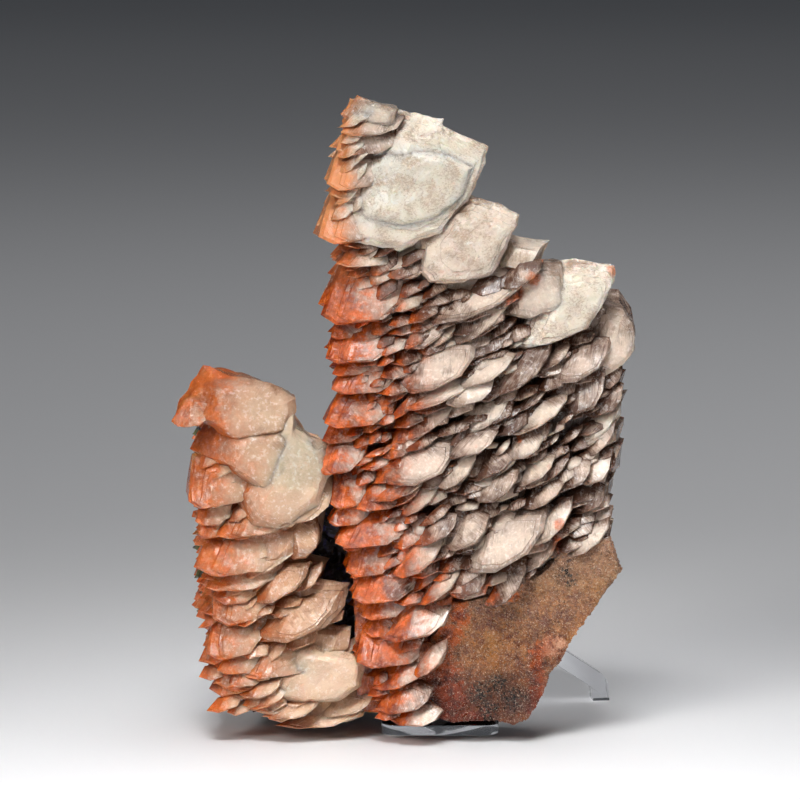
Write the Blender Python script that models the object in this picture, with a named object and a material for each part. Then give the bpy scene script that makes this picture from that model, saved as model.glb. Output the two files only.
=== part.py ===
"""Calcite with hematite inclusions: two stacks of flattened calcite crystals, grown side by side on a
piece of dark rock, and held up by a small clear easel.

Everything is in metres with +Z up. The front of the specimen looks along -Y and +X is its right side.
The easel's base plate lies on the plane z = 0. Sizes below are written in millimetres times MM.
"""

import math
import random

import bmesh
import bpy
from mathutils import Matrix, Vector, noise

MM = 0.001
NAME = "calcite_with_hematite"
GAP = 0.35 * MM          # clearance between pieces that touch
CUT_SHARE = 1.25         # a neighbour grows by this much of the gap before it cuts, for its sloping faces
CROWD_SOLVER = "MANIFOLD"    # with over a hundred solids in one join, the exact one leaves open seams
SEED = 18                # the small crystals between the large ones are scattered from this seed

# The outline of one crystal seen from the front, as fractions of its width and height. The left end is
# the free tip, the top slopes a little down to the right and the underside is a convex arc.
LARGE_OUTLINE = [(0.00, 0.22), (0.29, 1.00), (0.98, 0.88), (0.93, 0.50), (0.74, 0.14), (0.36, 0.00)]
SMALL_OUTLINE = [(0.00, 0.20), (0.33, 1.00), (1.00, 0.80), (0.84, 0.24), (0.42, 0.00)]
LARGE_WIDTH = 20.0 * MM  # crystals wider than this get the finer outline
SMALL_WIDTH = 15.5 * MM  # crystals narrower than this widen evenly down to their root
ROOT_SCALE = 1.30
TABLE_SCALE = 0.64       # size of the flat front face against the whole crystal
TABLE_CENTRE = (0.60, 0.54)
BACK_SCALE = 0.80
FACE_LEAN = 0.42         # how far the top of the front face lies back, per unit of height
TIP_SWEEP = 0.26         # how far the left tip lies back, per unit of width
GIRDLE_BACK = 0.07       # how far the widest section lies behind the front face, per unit of width
WOBBLE = math.radians(2.5)
OVERLAP_WIDTH = 1.10     # a crystal runs on this much further under its right neighbour
OVERLAP_HEIGHT = 1.22    # and this much further up under the row above

# The tall stack. Each crystal is its left edge, its bottom edge, its width and height, its turn in
# degrees, counter-clockwise, and how far it is set back from the front of the stack, in millimetres.
TALL_CRYSTALS = [
    # the comb of thin crystals down the left side of the top block
    (-19.4, 172.6, 16.5, 6.6, -3, 2), (-22.0, 167.2, 17.5, 7.4, -2, 1), (-23.3, 157.6, 18.0, 11.4, 0, 0),
    (-23.4, 155.2, 16.0, 5.6, 0, 2), (-25.7, 142.9, 24.0, 14.2, 0, 0),
    # below the top block, from the shaded notch to the second large tip
    (-19.2, 141.2, 18.0, 4.4, 0, 4), (-20.3, 136.2, 20.5, 6.2, 0, 3), (-11.5, 135.8, 19.0, 7.8, 0, 6),
    (-25.1, 120.1, 26.0, 17.2, 0, -1), (2.1, 122.5, 25.4, 10.4, 6, 1), (18.0, 126.4, 10.0, 10.0, 4, 5),
    (-22.2, 115.6, 10.0, 5.4, 0, 3), (-23.4, 109.1, 21.0, 11.6, 0, 0), (-4.6, 113.4, 14.6, 12.2, 4, 4),
    (9.2, 116.8, 17.4, 8.4, 12, 2), (9.6, 111.0, 17.4, 6.4, 8, 4),
    # the shingled rows of the middle, row by row from the left side
    (-20.6, 105.4, 11.5, 4.6, 0, 2), (-20.3, 100.2, 19.6, 8.0, 0, 1), (-6.9, 102.0, 22.0, 12.2, 4, -1),
    (9.8, 103.6, 17.0, 8.0, 8, 0), (21.2, 101.7, 16.8, 11.6, 3, -1), (-1.8, 98.1, 20.0, 8.0, 3, 0),
    (9.6, 98.1, 12.8, 7.2, 5, -1), (-22.0, 91.0, 19.8, 9.8, 0, -1), (-4.0, 89.8, 16.8, 8.2, 12, 3),
    (12.4, 90.7, 14.6, 8.0, 14, 3), (26.6, 91.0, 16.6, 8.2, 8, 0), (-23.1, 86.0, 12.2, 6.6, 0, 2),
    (-7.4, 82.8, 11.8, 7.6, 4, 3), (9.0, 83.6, 13.6, 7.4, 3, -1), (26.2, 82.8, 10.6, 6.2, 10, 0),
    (-24.0, 77.7, 13.6, 11.2, 0, -2), (15.8, 77.7, 12.8, 8.2, 12, 2), (28.0, 75.7, 11.8, 6.8, 14, 2),
    (-12.3, 75.0, 21.8, 12.6, 0, -1), (7.0, 75.0, 11.0, 9.2, 6, 0), (42.2, 74.8, 10.0, 6.6, 12, 0),
    (50.7, 75.2, 10.2, 9.2, 6, 0), (-20.6, 67.7, 10.8, 11.0, 0, 0), (-12.9, 70.7, 14.8, 5.6, 2, 1),
    (-13.7, 67.5, 14.0, 5.2, 2, 1), (17.5, 70.6, 11.6, 8.0, 5, 0), (32.2, 69.2, 11.0, 6.6, 10, 1),
    (-3.2, 67.2, 11.0, 8.0, 6, 3), (48.7, 67.0, 10.0, 8.2, 6, 3),
    # the lower rows, with the long bright slab at their right
    (-20.6, 62.8, 11.6, 6.6, 0, 0), (-19.1, 57.0, 21.4, 10.2, 0, -1), (-17.7, 55.2, 7.0, 4.4, 0, 3),
    (-17.4, 48.4, 14.6, 10.0, 0, 0), (-6.3, 49.6, 15.2, 11.2, 4, -1), (9.6, 51.0, 24.8, 15.4, 6, -2),
    (9.0, 57.7, 11.8, 10.4, 8, -1), (1.0, 59.4, 11.8, 7.2, 14, 0), (33.0, 59.4, 12.4, 9.8, 8, -1),
    (28.0, 50.9, 13.8, 9.6, 10, 4), (44.2, 54.9, 14.4, 8.8, 4, 1), (-16.6, 41.0, 18.8, 10.0, 0, -1),
    (-14.6, 36.4, 13.8, 7.6, 0, 1), (1.6, 42.4, 14.0, 7.8, 10, 1), (11.0, 43.5, 11.8, 8.4, 8, 1),
    (20.4, 41.3, 14.6, 11.4, 8, 1), (30.8, 40.2, 10.8, 11.2, 12, 2), (-9.2, 31.2, 21.4, 10.8, 0, -1),
    (-13.2, 31.0, 10.2, 6.4, 0, 2), (-16.3, 22.7, 22.2, 11.2, 0, 0), (-0.3, 21.0, 12.0, 8.4, 6, 0),
    (-11.8, 16.4, 18.8, 7.4, 0, 1), (-10.3, 9.6, 17.6, 8.4, 0, 0), (-6.1, 5.8, 15.6, 7.4, -12, 1),
    # the right shoulder and the broken right side below it
    (24.5, 133.8, 13.4, 8.0, 4, 0), (36.8, 104.3, 17.6, 11.6, 6, 0), (40.2, 95.0, 15.8, 13.2, 10, 1),
    (52.7, 101.5, 8.6, 8.0, 4, 3), (47.8, 94.1, 13.4, 9.4, 8, 3), (43.6, 85.6, 17.2, 11.2, 8, 4),
    (50.7, 82.8, 10.4, 8.0, 4, 1),
]

# The short stack, written in the same way.
SHORT_CRYSTALS = [
    (-65.3, 91.0, 12.0, 7.0, 0, -1), (-61.7, 68.0, 21.6, 13.4, 4, 0), (-45.8, 62.4, 26.0, 14.4, 0, 0),
    (-60.5, 62.8, 10.4, 7.4, 0, 2), (-58.8, 59.4, 10.0, 7.0, 0, 2), (-53.2, 59.8, 24.4, 9.8, 3, 1),
    (-36.3, 52.7, 12.0, 12.4, 6, 1), (-60.5, 49.0, 31.0, 12.4, 2, -1), (-56.6, 44.6, 21.0, 6.6, 2, 1),
    (-54.9, 40.6, 13.2, 7.0, 0, 2), (-46.1, 41.4, 17.8, 9.6, 4, 1), (-32.9, 44.0, 9.4, 6.4, 0, 3),
    (-55.7, 34.8, 19.8, 10.8, 5, 1), (-44.7, 30.6, 27.2, 13.8, 0, -1), (-58.8, 24.9, 18.4, 11.4, 6, 1),
    (-57.1, 19.2, 13.6, 7.6, 0, 2), (-50.3, 19.0, 33.4, 12.6, 0, 1), (-55.4, 15.2, 10.0, 5.8, 0, 1),
    (-53.7, 13.4, 12.4, 5.8, 0, 1), (-50.0, 10.6, 13.0, 6.2, 0, 1), (-46.1, 7.4, 17.0, 4.6, 0, 0),
    (-30.5, 6.5, 21.4, 7.8, 0, 1), (-37.6, 3.6, 25.0, 5.4, -4, 3),
]

# The largest crystals have outlines of their own: the points around each one, then its set-back.
TALL_BLOCKS = [
    ([(-18.3, 178.5), (-14.0, 183.3), (-1.8, 179.9), (-3.0, 175.4), (-14.0, 175.8)], 2),
    ([(-15.7, 182.0), (-1.8, 179.9), (10.6, 176.8), (9.6, 160.0), (-1.6, 141.1), (-15.7, 143.4),
      (-19.4, 153.8), (-19.0, 166.0)], 0),
    ([(-6.8, 176.0), (10.2, 175.3), (23.4, 169.4), (21.4, 163.2), (18.3, 156.1), (9.8, 145.9),
      (-1.6, 141.1), (-12.0, 143.0)], -1),
    ([(2.0, 144.0), (8.6, 152.6), (18.0, 156.3), (24.5, 154.1), (31.8, 150.4), (31.0, 147.6), (27.4, 140.5),
      (24.0, 134.6), (16.0, 132.0), (6.4, 132.2), (1.6, 136.3)], 0),
    ([(26.5, 122.4), (27.1, 132.6), (30.2, 136.6), (43.8, 137.4), (45.4, 125.5), (34.4, 121.6)], 1),
    ([(30.5, 113.6), (33.6, 121.5), (37.3, 136.5), (47.5, 137.7), (58.3, 136.5), (58.5, 132.3), (55.1, 125.2),
      (50.6, 118.7), (42.4, 115.2), (35.3, 113.0)], -1),
    ([(50.3, 111.3), (52.3, 120.4), (55.2, 125.8), (61.4, 124.4), (64.2, 120.4), (65.1, 116.1), (64.5, 112.4),
      (61.1, 108.2), (55.1, 104.5), (51.5, 106.0)], 1),
]
SHORT_BLOCKS = [
    ([(-65.3, 93.7), (-64.6, 97.3), (-57.4, 106.5), (-41.0, 103.4), (-30.8, 98.6), (-31.0, 95.0),
      (-32.9, 88.8), (-46.9, 86.6), (-57.7, 91.3)], 0),
    ([(-61.1, 83.0), (-58.8, 88.6), (-56.0, 92.4), (-32.7, 90.4), (-22.5, 86.4), (-20.4, 77.3), (-25.0, 72.0),
      (-41.2, 71.4), (-51.2, 79.0)], 1),
    ([(-42.4, 16.6), (-40.1, 23.4), (-32.7, 27.7), (-26.5, 28.8), (-15.7, 24.8), (-11.8, 22.8), (-11.6, 20.4),
      (-12.4, 16.3), (-19.1, 12.1), (-29.9, 11.3), (-38.4, 12.5)], -1),
]

# The solid middle of each stack, behind the crystals: an outline, its front and its back.
TALL_CORE = [
    ([(-14, 8), (-15, 40), (-16, 75), (-18, 105), (-15, 132), (4, 134), (26, 120), (30, 116), (52, 108),
      (57, 96), (57, 66), (56, 50), (46, 26), (34, 8), (10, 6)], -7.0, 11.5),
    ([(-12.7, 97), (-13.1, 131), (-13.4, 172), (-6, 175), (10, 170), (15.5, 157), (23, 150), (27, 139),
      (34, 132), (46, 131), (54, 129), (59, 118), (56.4, 98)], -6.3, 14.0),
]
SHORT_CORE = [
    ([(-52, 12), (-54, 40), (-56, 62), (-54, 80), (-56, 98), (-36, 98), (-27, 84), (-25, 72), (-32, 58),
      (-34, 44), (-24, 34), (-17, 22), (-19, 12), (-34, 7)], -5.0, 11.5),
]

# The front of each stack bulges towards the viewer: its y at the sides and how much more in the middle.
TALL_FRONT = dict(middle=18.0 * MM, half=50.0 * MM, side=-8.0 * MM, bulge=-9.5 * MM, tips=-13.0 * MM)
SHORT_FRONT = dict(middle=-42.0 * MM, half=30.0 * MM, side=-6.0 * MM, bulge=-9.0 * MM, tips=-50.0 * MM)
FRONT_DEPTH = 15.0 * MM   # how far back the front crystals reach, into the core
TALL_BLOCK_DEPTH = 28.0 * MM
SHORT_BLOCK_DEPTH = 22.0 * MM

# The broken foot of the tall stack, lower right, where the granular calcite shows.
FOOT_OUTLINE = [
    (3.0, 12.1), (4.7, 18.0), (6.9, 29.0), (13.2, 40.4), (28.2, 43.0), (40.0, 50.6), (44.4, 57.0),
    (57.7, 58.9), (60.7, 49.3), (59.1, 46.1), (51.7, 37.0), (47.5, 30.2), (46.4, 28.0), (44.4, 24.3),
    (41.2, 18.8), (38.6, 13.2), (34.0, 7.0), (30.1, 5.2), (24.8, 6.8), (17.7, 5.6), (13.8, 5.4), (4.1, 6.9),
]
FOOT_FRONT = -12.0 * MM
FOOT_BACK = 11.0 * MM
FOOT_LUMP = 2.2 * MM
LUMP_SCALE = 110.0       # noise cells per metre on the broken faces
FOOT_GRAIN = 8.0 * MM
FOOT_STEPS = 5

# The rows of crystals on the back of the tall stack, in millimetres.
BACK_ROWS = (10.0, 166.0)
BACK_ROW_RISE = (12.5, 15.5)
BACK_LEFT = -21.0
BACK_BESIDE_ROCK = 32.0
BACK_ABOVE_ROCK = 66.0   # rows above this height run over the top of the rock
BACK_RIGHT = 57.0
BACK_NARROWS = 50.0      # below this height the right end draws in
BACK_NARROWING = 0.5
BACK_SPARE = 10.0        # no crystal starts nearer to the right end than this
BACK_OVERHANG = 4.0      # and none ends further past it than this
BACK_OUT = 16.0
BACK_BULGE = 5.0
BACK_DEPTH = 14.0
BACK_WIDTHS = (25.0, 38.0)
BACK_SHAPES = (0.50, 0.62)   # height against width
BACK_STEP = 0.76         # from one crystal to the next, against its width
BACK_TURNS = (-8.0, 12.0)
BACK_SHIFT = 3.0
BACK_JITTER = 2.5
BACK_LEAST_HEIGHT = 8.0
BACK_TOP = [(-40, 172), (10, 168), (23, 158), (31, 143), (36, 130), (57, 128), (66, 108)]

# The tips along the sides, behind the ones that show from the front: heights and depths in millimetres.
SIDE_WIDTHS = (12.0, 16.0)
SIDE_HEIGHTS = (6.5, 9.0)
SIDE_IN = 2.0
SIDE_FRONT = 3.0
SIDE_DEPTH = 9.0
SIDE_JITTER = 1.5
SIDE_TURN = 4.0
TALL_LEFT_TIPS = [([18, 36, 54, 72, 89], [0.0]), ([103, 117, 133, 150, 165], [5.0])]
TALL_RIGHT_TIPS = [([64, 78, 92, 104], [2.0, 9.0])]
SHORT_LEFT_TIPS = [([18, 36, 54, 72], [1.5]), ([88, 95], [2.0, 8.0])]

# The rock behind both stacks.
ROCK_LOW = Vector((-59.0, 12.0, 3.7)) * MM
ROCK_HIGH = Vector((26.0, 36.0, 90.0)) * MM
ROCK_CELLS = (7, 2, 8)
ROCK_LUMP = 2.6 * MM
ROCK_SCALE = 70.0        # noise cells per metre
ROCK_TOP_FALL = 26.0 * MM    # how far its top falls from the left to the right
ROCK_FOOT_DRAW = 16.0 * MM   # how far its lower left corner draws in
ROCK_FOOT_SHARE = 0.32
BACK_LEAN = 0.085        # how far the back of the rock and the easel lean in, per unit of height
ROCK_CRYSTAL_LEVELS = (24, 33, 41, 50, 61, 72, 83)
ROCK_CRYSTAL_DEPTHS = (15.0, 24.0)
ROCK_CRYSTAL_WIDTHS = (3.4, 5.6)
ROCK_CRYSTAL_SHAPE = 0.62
ROCK_CRYSTAL_OUT = (-2.5, -1.0)
ROCK_CRYSTAL_DEPTH = 4.0
ROCK_CRYSTAL_JITTER = 1.5
ROCK_CRYSTAL_TURNS = (-8.0, 12.0)

# The easel: clear sheet, with two bent legs behind.
EASEL_MIDDLE = 10.0 * MM
SHEET = 3.0 * MM
BASE_WIDTH = 34.0 * MM
BASE_FRONT = -3.0 * MM
BASE_BACK = 47.0 * MM
BASE_CORNER = 5.0 * MM
REST_WIDTH = 44.0 * MM
REST_TOP = 78.0 * MM
REST_CORNER = 7.0 * MM
LEG_WIDTH = 7.0 * MM
LEG_THICK = 5.0 * MM
LEG_TOP = Vector((13.0, 0.0, 29.0)) * MM      # where a leg starts, from the easel's middle, on the back rest's back
LEG_KNEE = Vector((48.0, 47.5, 5.5)) * MM     # where it turns down to the floor
LEG_BEND = 3.0 * MM
LEG_SPLAY = 0.5 * MM


def material(name, colour, roughness, metallic=0.0, transmission=0.0, ior=1.5):
    """A plain Principled material."""
    made = bpy.data.materials.new(name)
    made.use_nodes = True
    shader = made.node_tree.nodes["Principled BSDF"]
    shader.inputs["Base Color"].default_value = (*colour, 1.0)
    shader.inputs["Roughness"].default_value = roughness
    shader.inputs["Metallic"].default_value = metallic
    shader.inputs["Transmission Weight"].default_value = transmission
    shader.inputs["IOR"].default_value = ior
    made.diffuse_color = (*colour, 1.0)
    return made


def object_from(bm, name, collection):
    """Turn a bmesh into an object, with its faces pointing outwards."""
    bmesh.ops.recalc_face_normals(bm, faces=bm.faces)
    mesh = bpy.data.meshes.new(name)
    bm.to_mesh(mesh)
    bm.free()
    made = bpy.data.objects.new(name, mesh)
    collection.objects.link(made)
    return made


def loft(rings, name, collection):
    """A closed solid lofted through rings of equally many points."""
    bm = bmesh.new()
    levels = [[bm.verts.new(point) for point in ring] for ring in rings]
    for near, far in zip(levels, levels[1:]):
        for place in range(len(near)):
            after = (place + 1) % len(near)
            bm.faces.new((near[place], far[place], near[after]))
            bm.faces.new((near[after], far[place], far[after]))
    bm.faces.new(levels[0])
    bm.faces.new(levels[-1])
    bmesh.ops.triangulate(bm, faces=[face for face in bm.faces if len(face.verts) > 3])
    return object_from(bm, name, collection)


def crystal_solid(rings, name, collection):
    """A crystal: the convex body around its rings of points."""
    bm = bmesh.new()
    for ring in rings:
        for point in ring:
            bm.verts.new(point)
    hull = bmesh.ops.convex_hull(bm, input=bm.verts[:], use_existing_faces=False)
    inside = [item for item in hull["geom_interior"] if isinstance(item, bmesh.types.BMVert)]
    bmesh.ops.delete(bm, geom=inside, context="VERTS")
    return object_from(bm, name, collection)


def crystal_rings(outline, left, bottom, width, height, front, depth, facing=-1.0, tip=False):
    """The rings of one crystal: its flat front face, its widest section and its buried back.

    A small crystal widens evenly from its front face to its back, so it needs two rings alone.

    The outline is in fractions of the width and height. facing is -1 for a crystal that looks to the
    front and +1 for one that looks to the back of the specimen.
    """
    def ring(scale, offset, sweep):
        points = []
        for u, v in outline:
            u = TABLE_CENTRE[0] + (u - TABLE_CENTRE[0]) * scale
            v = TABLE_CENTRE[1] + (v - TABLE_CENTRE[1]) * scale
            back = offset + sweep * width * (1.0 - u) ** 2 + FACE_LEAN * height * v
            points.append(Vector((left + u * width, front - facing * back, bottom + v * height)))
        return points

    table = ring(TABLE_SCALE, 0.0, TIP_SWEEP * 0.5)
    girdle = ring(1.0, GIRDLE_BACK * width, TIP_SWEEP)
    if width < SMALL_WIDTH and not tip:
        return [table, [Vector((p.x, front - facing * depth, p.z)) for p in ring(ROOT_SCALE, 0.0, 0.0)]]
    buried = [Vector((p.x, front - facing * depth, p.z)) for p in ring(BACK_SCALE, 0.0, 0.0)[::2]]
    return [table, girdle, buried]


def turned(rings, degrees, rng):
    """Turn a crystal in the plane of the front, with a small seeded wobble about the other axes."""
    points = [point for ring in rings for point in ring]
    middle = sum(points, Vector()) / len(points)
    turn = (
        Matrix.Rotation(-math.radians(degrees), 3, "Y")
        @ Matrix.Rotation(rng.uniform(-WOBBLE, WOBBLE), 3, "X")
        @ Matrix.Rotation(rng.uniform(-WOBBLE, WOBBLE), 3, "Z")
    )
    return [[middle + turn @ (point - middle) for point in ring] for ring in rings]


def front_at(x, front):
    """How far forward a stack's crystals stand at this x."""
    across = min(1.0, abs(x - front["middle"]) / front["half"])
    return front["side"] + front["bulge"] * (1.0 - across * across)


def listed_crystals(crystals, front, name, collection, rng):
    """The crystals of a list, placed on the front of a stack."""
    for left, bottom, width, height, degrees, set_back in crystals:
        left, bottom, width, height = left * MM, bottom * MM, width * MM, height * MM
        outline = LARGE_OUTLINE if width > LARGE_WIDTH else SMALL_OUTLINE
        width *= OVERLAP_WIDTH
        height *= OVERLAP_HEIGHT
        at = front_at(left + width / 2, front) + set_back * MM
        tip = left < front["tips"]
        rings = crystal_rings(outline, left, bottom, width, height, at, FRONT_DEPTH, tip=tip)
        crystal_solid(turned(rings, degrees, rng), name, collection)


def blocks(outlines, front, depth, name, collection, rng):
    """The crystals that have an outline of their own."""
    for outline, set_back in outlines:
        xs = [x for x, _ in outline]
        zs = [z for _, z in outline]
        left, bottom = min(xs), min(zs)
        width, height = max(xs) - left, max(zs) - bottom
        fractions = [((x - left) / width, (z - bottom) / height) for x, z in outline]
        at = front_at((left + width / 2) * MM, front) + set_back * MM
        rings = crystal_rings(fractions, left * MM, bottom * MM, width * MM, height * MM, at, depth)
        crystal_solid(turned(rings, 0.0, rng), name, collection)


def outline_rings(outline, front, back, steps=1, lump=0.0):
    """An outline, in millimetres, repeated from front to back, its points pushed about by noise."""
    rings = []
    for step in range(steps + 1):
        y = front + (back - front) * step / steps
        points = [Vector((x * MM, y, z * MM)) for x, z in outline]
        rings.append([point + noise.noise_vector(point * LUMP_SCALE) * lump for point in points])
    return rings


def boolean(target, operation, operand, solver="EXACT"):
    """Join or cut a solid with an object or a whole collection, and keep the result as its mesh."""
    modifier = target.modifiers.new(operation.title(), "BOOLEAN")
    modifier.operation = operation
    modifier.solver = solver
    if isinstance(operand, bpy.types.Collection):
        modifier.operand_type = "COLLECTION"
        modifier.collection = operand
    else:
        modifier.object = operand
    made = bpy.data.meshes.new_from_object(target.evaluated_get(bpy.context.evaluated_depsgraph_get()))
    target.modifiers.clear()
    old = target.data
    target.data = made
    bpy.data.meshes.remove(old)


def largest_shell(target):
    """Keep the outer skin alone: pockets sealed inside the stack are filled and loose chips go."""
    bm = bmesh.new()
    bm.from_mesh(target.data)
    unseen = set(bm.verts)
    shells = []
    while unseen:
        shell = set()
        front = [unseen.pop()]
        while front:
            vert = front.pop()
            shell.add(vert)
            for edge in vert.link_edges:
                other = edge.other_vert(vert)
                if other in unseen:
                    unseen.remove(other)
                    front.append(other)
        shells.append(shell)
    keep = max(shells, key=len)
    loose = [vert for shell in shells if shell is not keep for vert in shell]
    bmesh.ops.delete(bm, geom=loose, context="VERTS")
    bmesh.ops.triangulate(bm, faces=bm.faces)
    bm.to_mesh(target.data)
    bm.free()


def empty_collection(collection):
    """Take the joined helpers out of the file again."""
    for made in list(collection.objects):
        mesh = made.data
        bpy.data.objects.remove(made)
        bpy.data.meshes.remove(mesh)


def back_top(x):
    """How high the crystals on the back may reach at this x, under the outline of the front."""
    for (start, high), (end, low) in zip(BACK_TOP, BACK_TOP[1:]):
        if x <= end:
            return high + (low - high) * (x - start) / (end - start)
    return 0.0


def back_crystals(rng, name, collection):
    """Rows of crystals on the free back of the tall stack, above and beside the rock."""
    z = BACK_ROWS[0]
    while z < BACK_ROWS[1]:
        left = BACK_LEFT if z > BACK_ABOVE_ROCK else BACK_BESIDE_ROCK
        right = BACK_RIGHT - max(0.0, BACK_NARROWS - z) * BACK_NARROWING
        x = left + rng.uniform(-BACK_SHIFT, BACK_SHIFT)
        while x < right - BACK_SPARE:
            width = min(rng.uniform(*BACK_WIDTHS), right + BACK_OVERHANG - x)
            height = width * rng.uniform(*BACK_SHAPES)
            bottom = z + rng.uniform(-BACK_JITTER, BACK_JITTER)
            across = min(1.0, abs((x + width / 2) * MM - TALL_FRONT["middle"]) / TALL_FRONT["half"])
            bulge = BACK_BULGE * (1.0 - across * across)
            at = BACK_OUT + bulge + rng.uniform(-BACK_JITTER, BACK_JITTER)
            degrees = rng.uniform(*BACK_TURNS)
            height = min(height, min(back_top(x), back_top(x + width)) - bottom)
            if height > BACK_LEAST_HEIGHT:
                rings = crystal_rings(SMALL_OUTLINE, x * MM, bottom * MM, width * MM, height * MM,
                                      at * MM, BACK_DEPTH * MM, facing=1.0)
                crystal_solid(turned(rings, degrees, rng), name, collection)
            x += width * BACK_STEP
        z += rng.uniform(*BACK_ROW_RISE)


def side_crystals(levels, depths, left_at, name, collection, rng):
    """Tips at each of these heights and depths, starting at the x that left_at gives."""
    for z in levels:
        for y in depths:
            width = rng.uniform(*SIDE_WIDTHS)
            height = rng.uniform(*SIDE_HEIGHTS)
            x = left_at(z) + rng.uniform(0.0, SIDE_IN)
            bottom = z + rng.uniform(-SIDE_JITTER, SIDE_JITTER)
            rings = crystal_rings(SMALL_OUTLINE, x * MM, bottom * MM, width * MM, height * MM,
                                  (y - SIDE_FRONT) * MM, SIDE_DEPTH * MM)
            degrees = rng.uniform(-SIDE_TURN, SIDE_TURN)
            crystal_solid(turned(rings, degrees, rng), name, collection)


def core(listed, name, collection):
    """One solid middle of a stack, from its outline, its front and its back."""
    outline, front, back = listed
    return loft(outline_rings(outline, front * MM, back * MM), name, collection)


def calcite_stack(name, cores, outlines, block_depth, crystals, front, extra, look, parts):
    """One stack: cores, large blocks and listed crystals, joined in one solid."""
    rng = random.Random(SEED)
    helpers = bpy.data.collections.new(name + "_crystals")
    bpy.context.scene.collection.children.link(helpers)
    blocks(outlines, front, block_depth, name + "_block", helpers, rng)
    listed_crystals(crystals, front, name + "_crystal", helpers, rng)
    extra(rng, helpers)
    stack = core(cores[0], name, parts)
    for further in cores[1:]:
        core(further, name + "_core", helpers)
    boolean(stack, "UNION", helpers, CROWD_SOLVER)
    empty_collection(helpers)
    bpy.data.collections.remove(helpers)
    stack.data.materials.clear()
    stack.data.materials.append(look)
    return stack


def tall_left_edge(z):
    """The x of the tall stack's left side at this height, in millimetres."""
    return -15.0 - 6.0 * max(0.0, min(1.0, (z - 20.0) / 100.0))


def tall_right_start(z):
    """Where the crystals that end at the broken right side start, in millimetres."""
    return 45.0 + 0.04 * (z - 60.0)


def short_left_edge(z):
    """The x of the short stack's left side at this height, in millimetres."""
    return -60.0 + 8.0 * max(0.0, (30.0 - z) / 30.0)


def tall_extra(rng, helpers):
    """The tall stack's back and both sides, and its broken foot."""
    back_crystals(rng, "back_crystal", helpers)
    for levels, depths in TALL_LEFT_TIPS:
        side_crystals(levels, depths, tall_left_edge, "side_crystal", helpers, rng)
    for levels, depths in TALL_RIGHT_TIPS:
        side_crystals(levels, depths, tall_right_start, "end_crystal", helpers, rng)
    foot(helpers)


def short_extra(rng, helpers):
    """The short stack's left side and its top above the rock."""
    for levels, depths in SHORT_LEFT_TIPS:
        side_crystals(levels, depths, short_left_edge, "side_crystal", helpers, rng)


def lumpy_block(low, high, cells, lump, scale, name, collection):
    """A box of cells whose points are pushed about by noise, like broken rock."""
    bm = bmesh.new()
    bmesh.ops.create_cube(bm, size=1.0)
    size = high - low
    bmesh.ops.scale(bm, verts=bm.verts, vec=size)
    bmesh.ops.translate(bm, verts=bm.verts, vec=(low + high) / 2)
    for axis, count in enumerate(cells):
        normal = Vector((0.0, 0.0, 0.0))
        normal[axis] = 1.0
        for step in range(1, count):
            at = low + normal * size[axis] * step / count
            whole = bm.verts[:] + bm.edges[:] + bm.faces[:]
            bmesh.ops.bisect_plane(bm, geom=whole, plane_co=at, plane_no=normal)
    for vert in bm.verts:
        vert.co += noise.noise_vector(vert.co * scale) * lump
    bmesh.ops.triangulate(bm, faces=bm.faces)
    return object_from(bm, name, collection)


def foot(collection):
    """The broken foot: a lumpy block trimmed to its outline."""
    xs = [x * MM for x, _ in FOOT_OUTLINE]
    zs = [z * MM for _, z in FOOT_OUTLINE]
    low = Vector((min(xs) - FOOT_GRAIN, FOOT_FRONT, min(zs) - FOOT_GRAIN))
    high = Vector((max(xs) + FOOT_GRAIN, FOOT_BACK, max(zs) + FOOT_GRAIN))
    cells = [max(1, round((high[axis] - low[axis]) / FOOT_GRAIN)) for axis in range(3)]
    block = lumpy_block(low, high, cells, FOOT_LUMP, LUMP_SCALE, "foot", collection)
    front, back = FOOT_FRONT - FOOT_GRAIN, FOOT_BACK + FOOT_GRAIN
    rings = outline_rings(FOOT_OUTLINE, front, back, FOOT_STEPS, FOOT_LUMP)
    trim = loft(rings, "foot_trim", collection)
    boolean(block, "INTERSECT", trim)
    mesh = trim.data
    bpy.data.objects.remove(trim)
    bpy.data.meshes.remove(mesh)
    return block


def rock(parts):
    """The dark rock behind the stacks, with small crystals grown on its left edge."""
    rng = random.Random(SEED + 1)
    helpers = bpy.data.collections.new("rock_crystals")
    bpy.context.scene.collection.children.link(helpers)
    made = lumpy_block(ROCK_LOW, ROCK_HIGH, ROCK_CELLS, ROCK_LUMP, ROCK_SCALE, "matrix_rock", parts)
    for vert in made.data.vertices:
        shape_rock_point(vert.co)
    for z in ROCK_CRYSTAL_LEVELS:
        for y in ROCK_CRYSTAL_DEPTHS:
            width = rng.uniform(*ROCK_CRYSTAL_WIDTHS)
            x = rock_left_edge(z) + rng.uniform(*ROCK_CRYSTAL_OUT)
            bottom = z + rng.uniform(-ROCK_CRYSTAL_JITTER, ROCK_CRYSTAL_JITTER)
            at = y + rng.uniform(-ROCK_CRYSTAL_JITTER, ROCK_CRYSTAL_JITTER)
            rings = crystal_rings(SMALL_OUTLINE, x * MM, bottom * MM, width * MM,
                                  width * ROCK_CRYSTAL_SHAPE * MM, at * MM, ROCK_CRYSTAL_DEPTH * MM)
            degrees = rng.uniform(*ROCK_CRYSTAL_TURNS)
            crystal_solid(turned(rings, degrees, rng), "rock_crystal", helpers)
    boolean(made, "UNION", helpers)
    empty_collection(helpers)
    bpy.data.collections.remove(helpers)
    largest_shell(made)
    made.data.materials.clear()
    made.data.materials.append(material("dark_rock", (0.035, 0.030, 0.032), 0.5, metallic=0.25))
    return made


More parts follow.
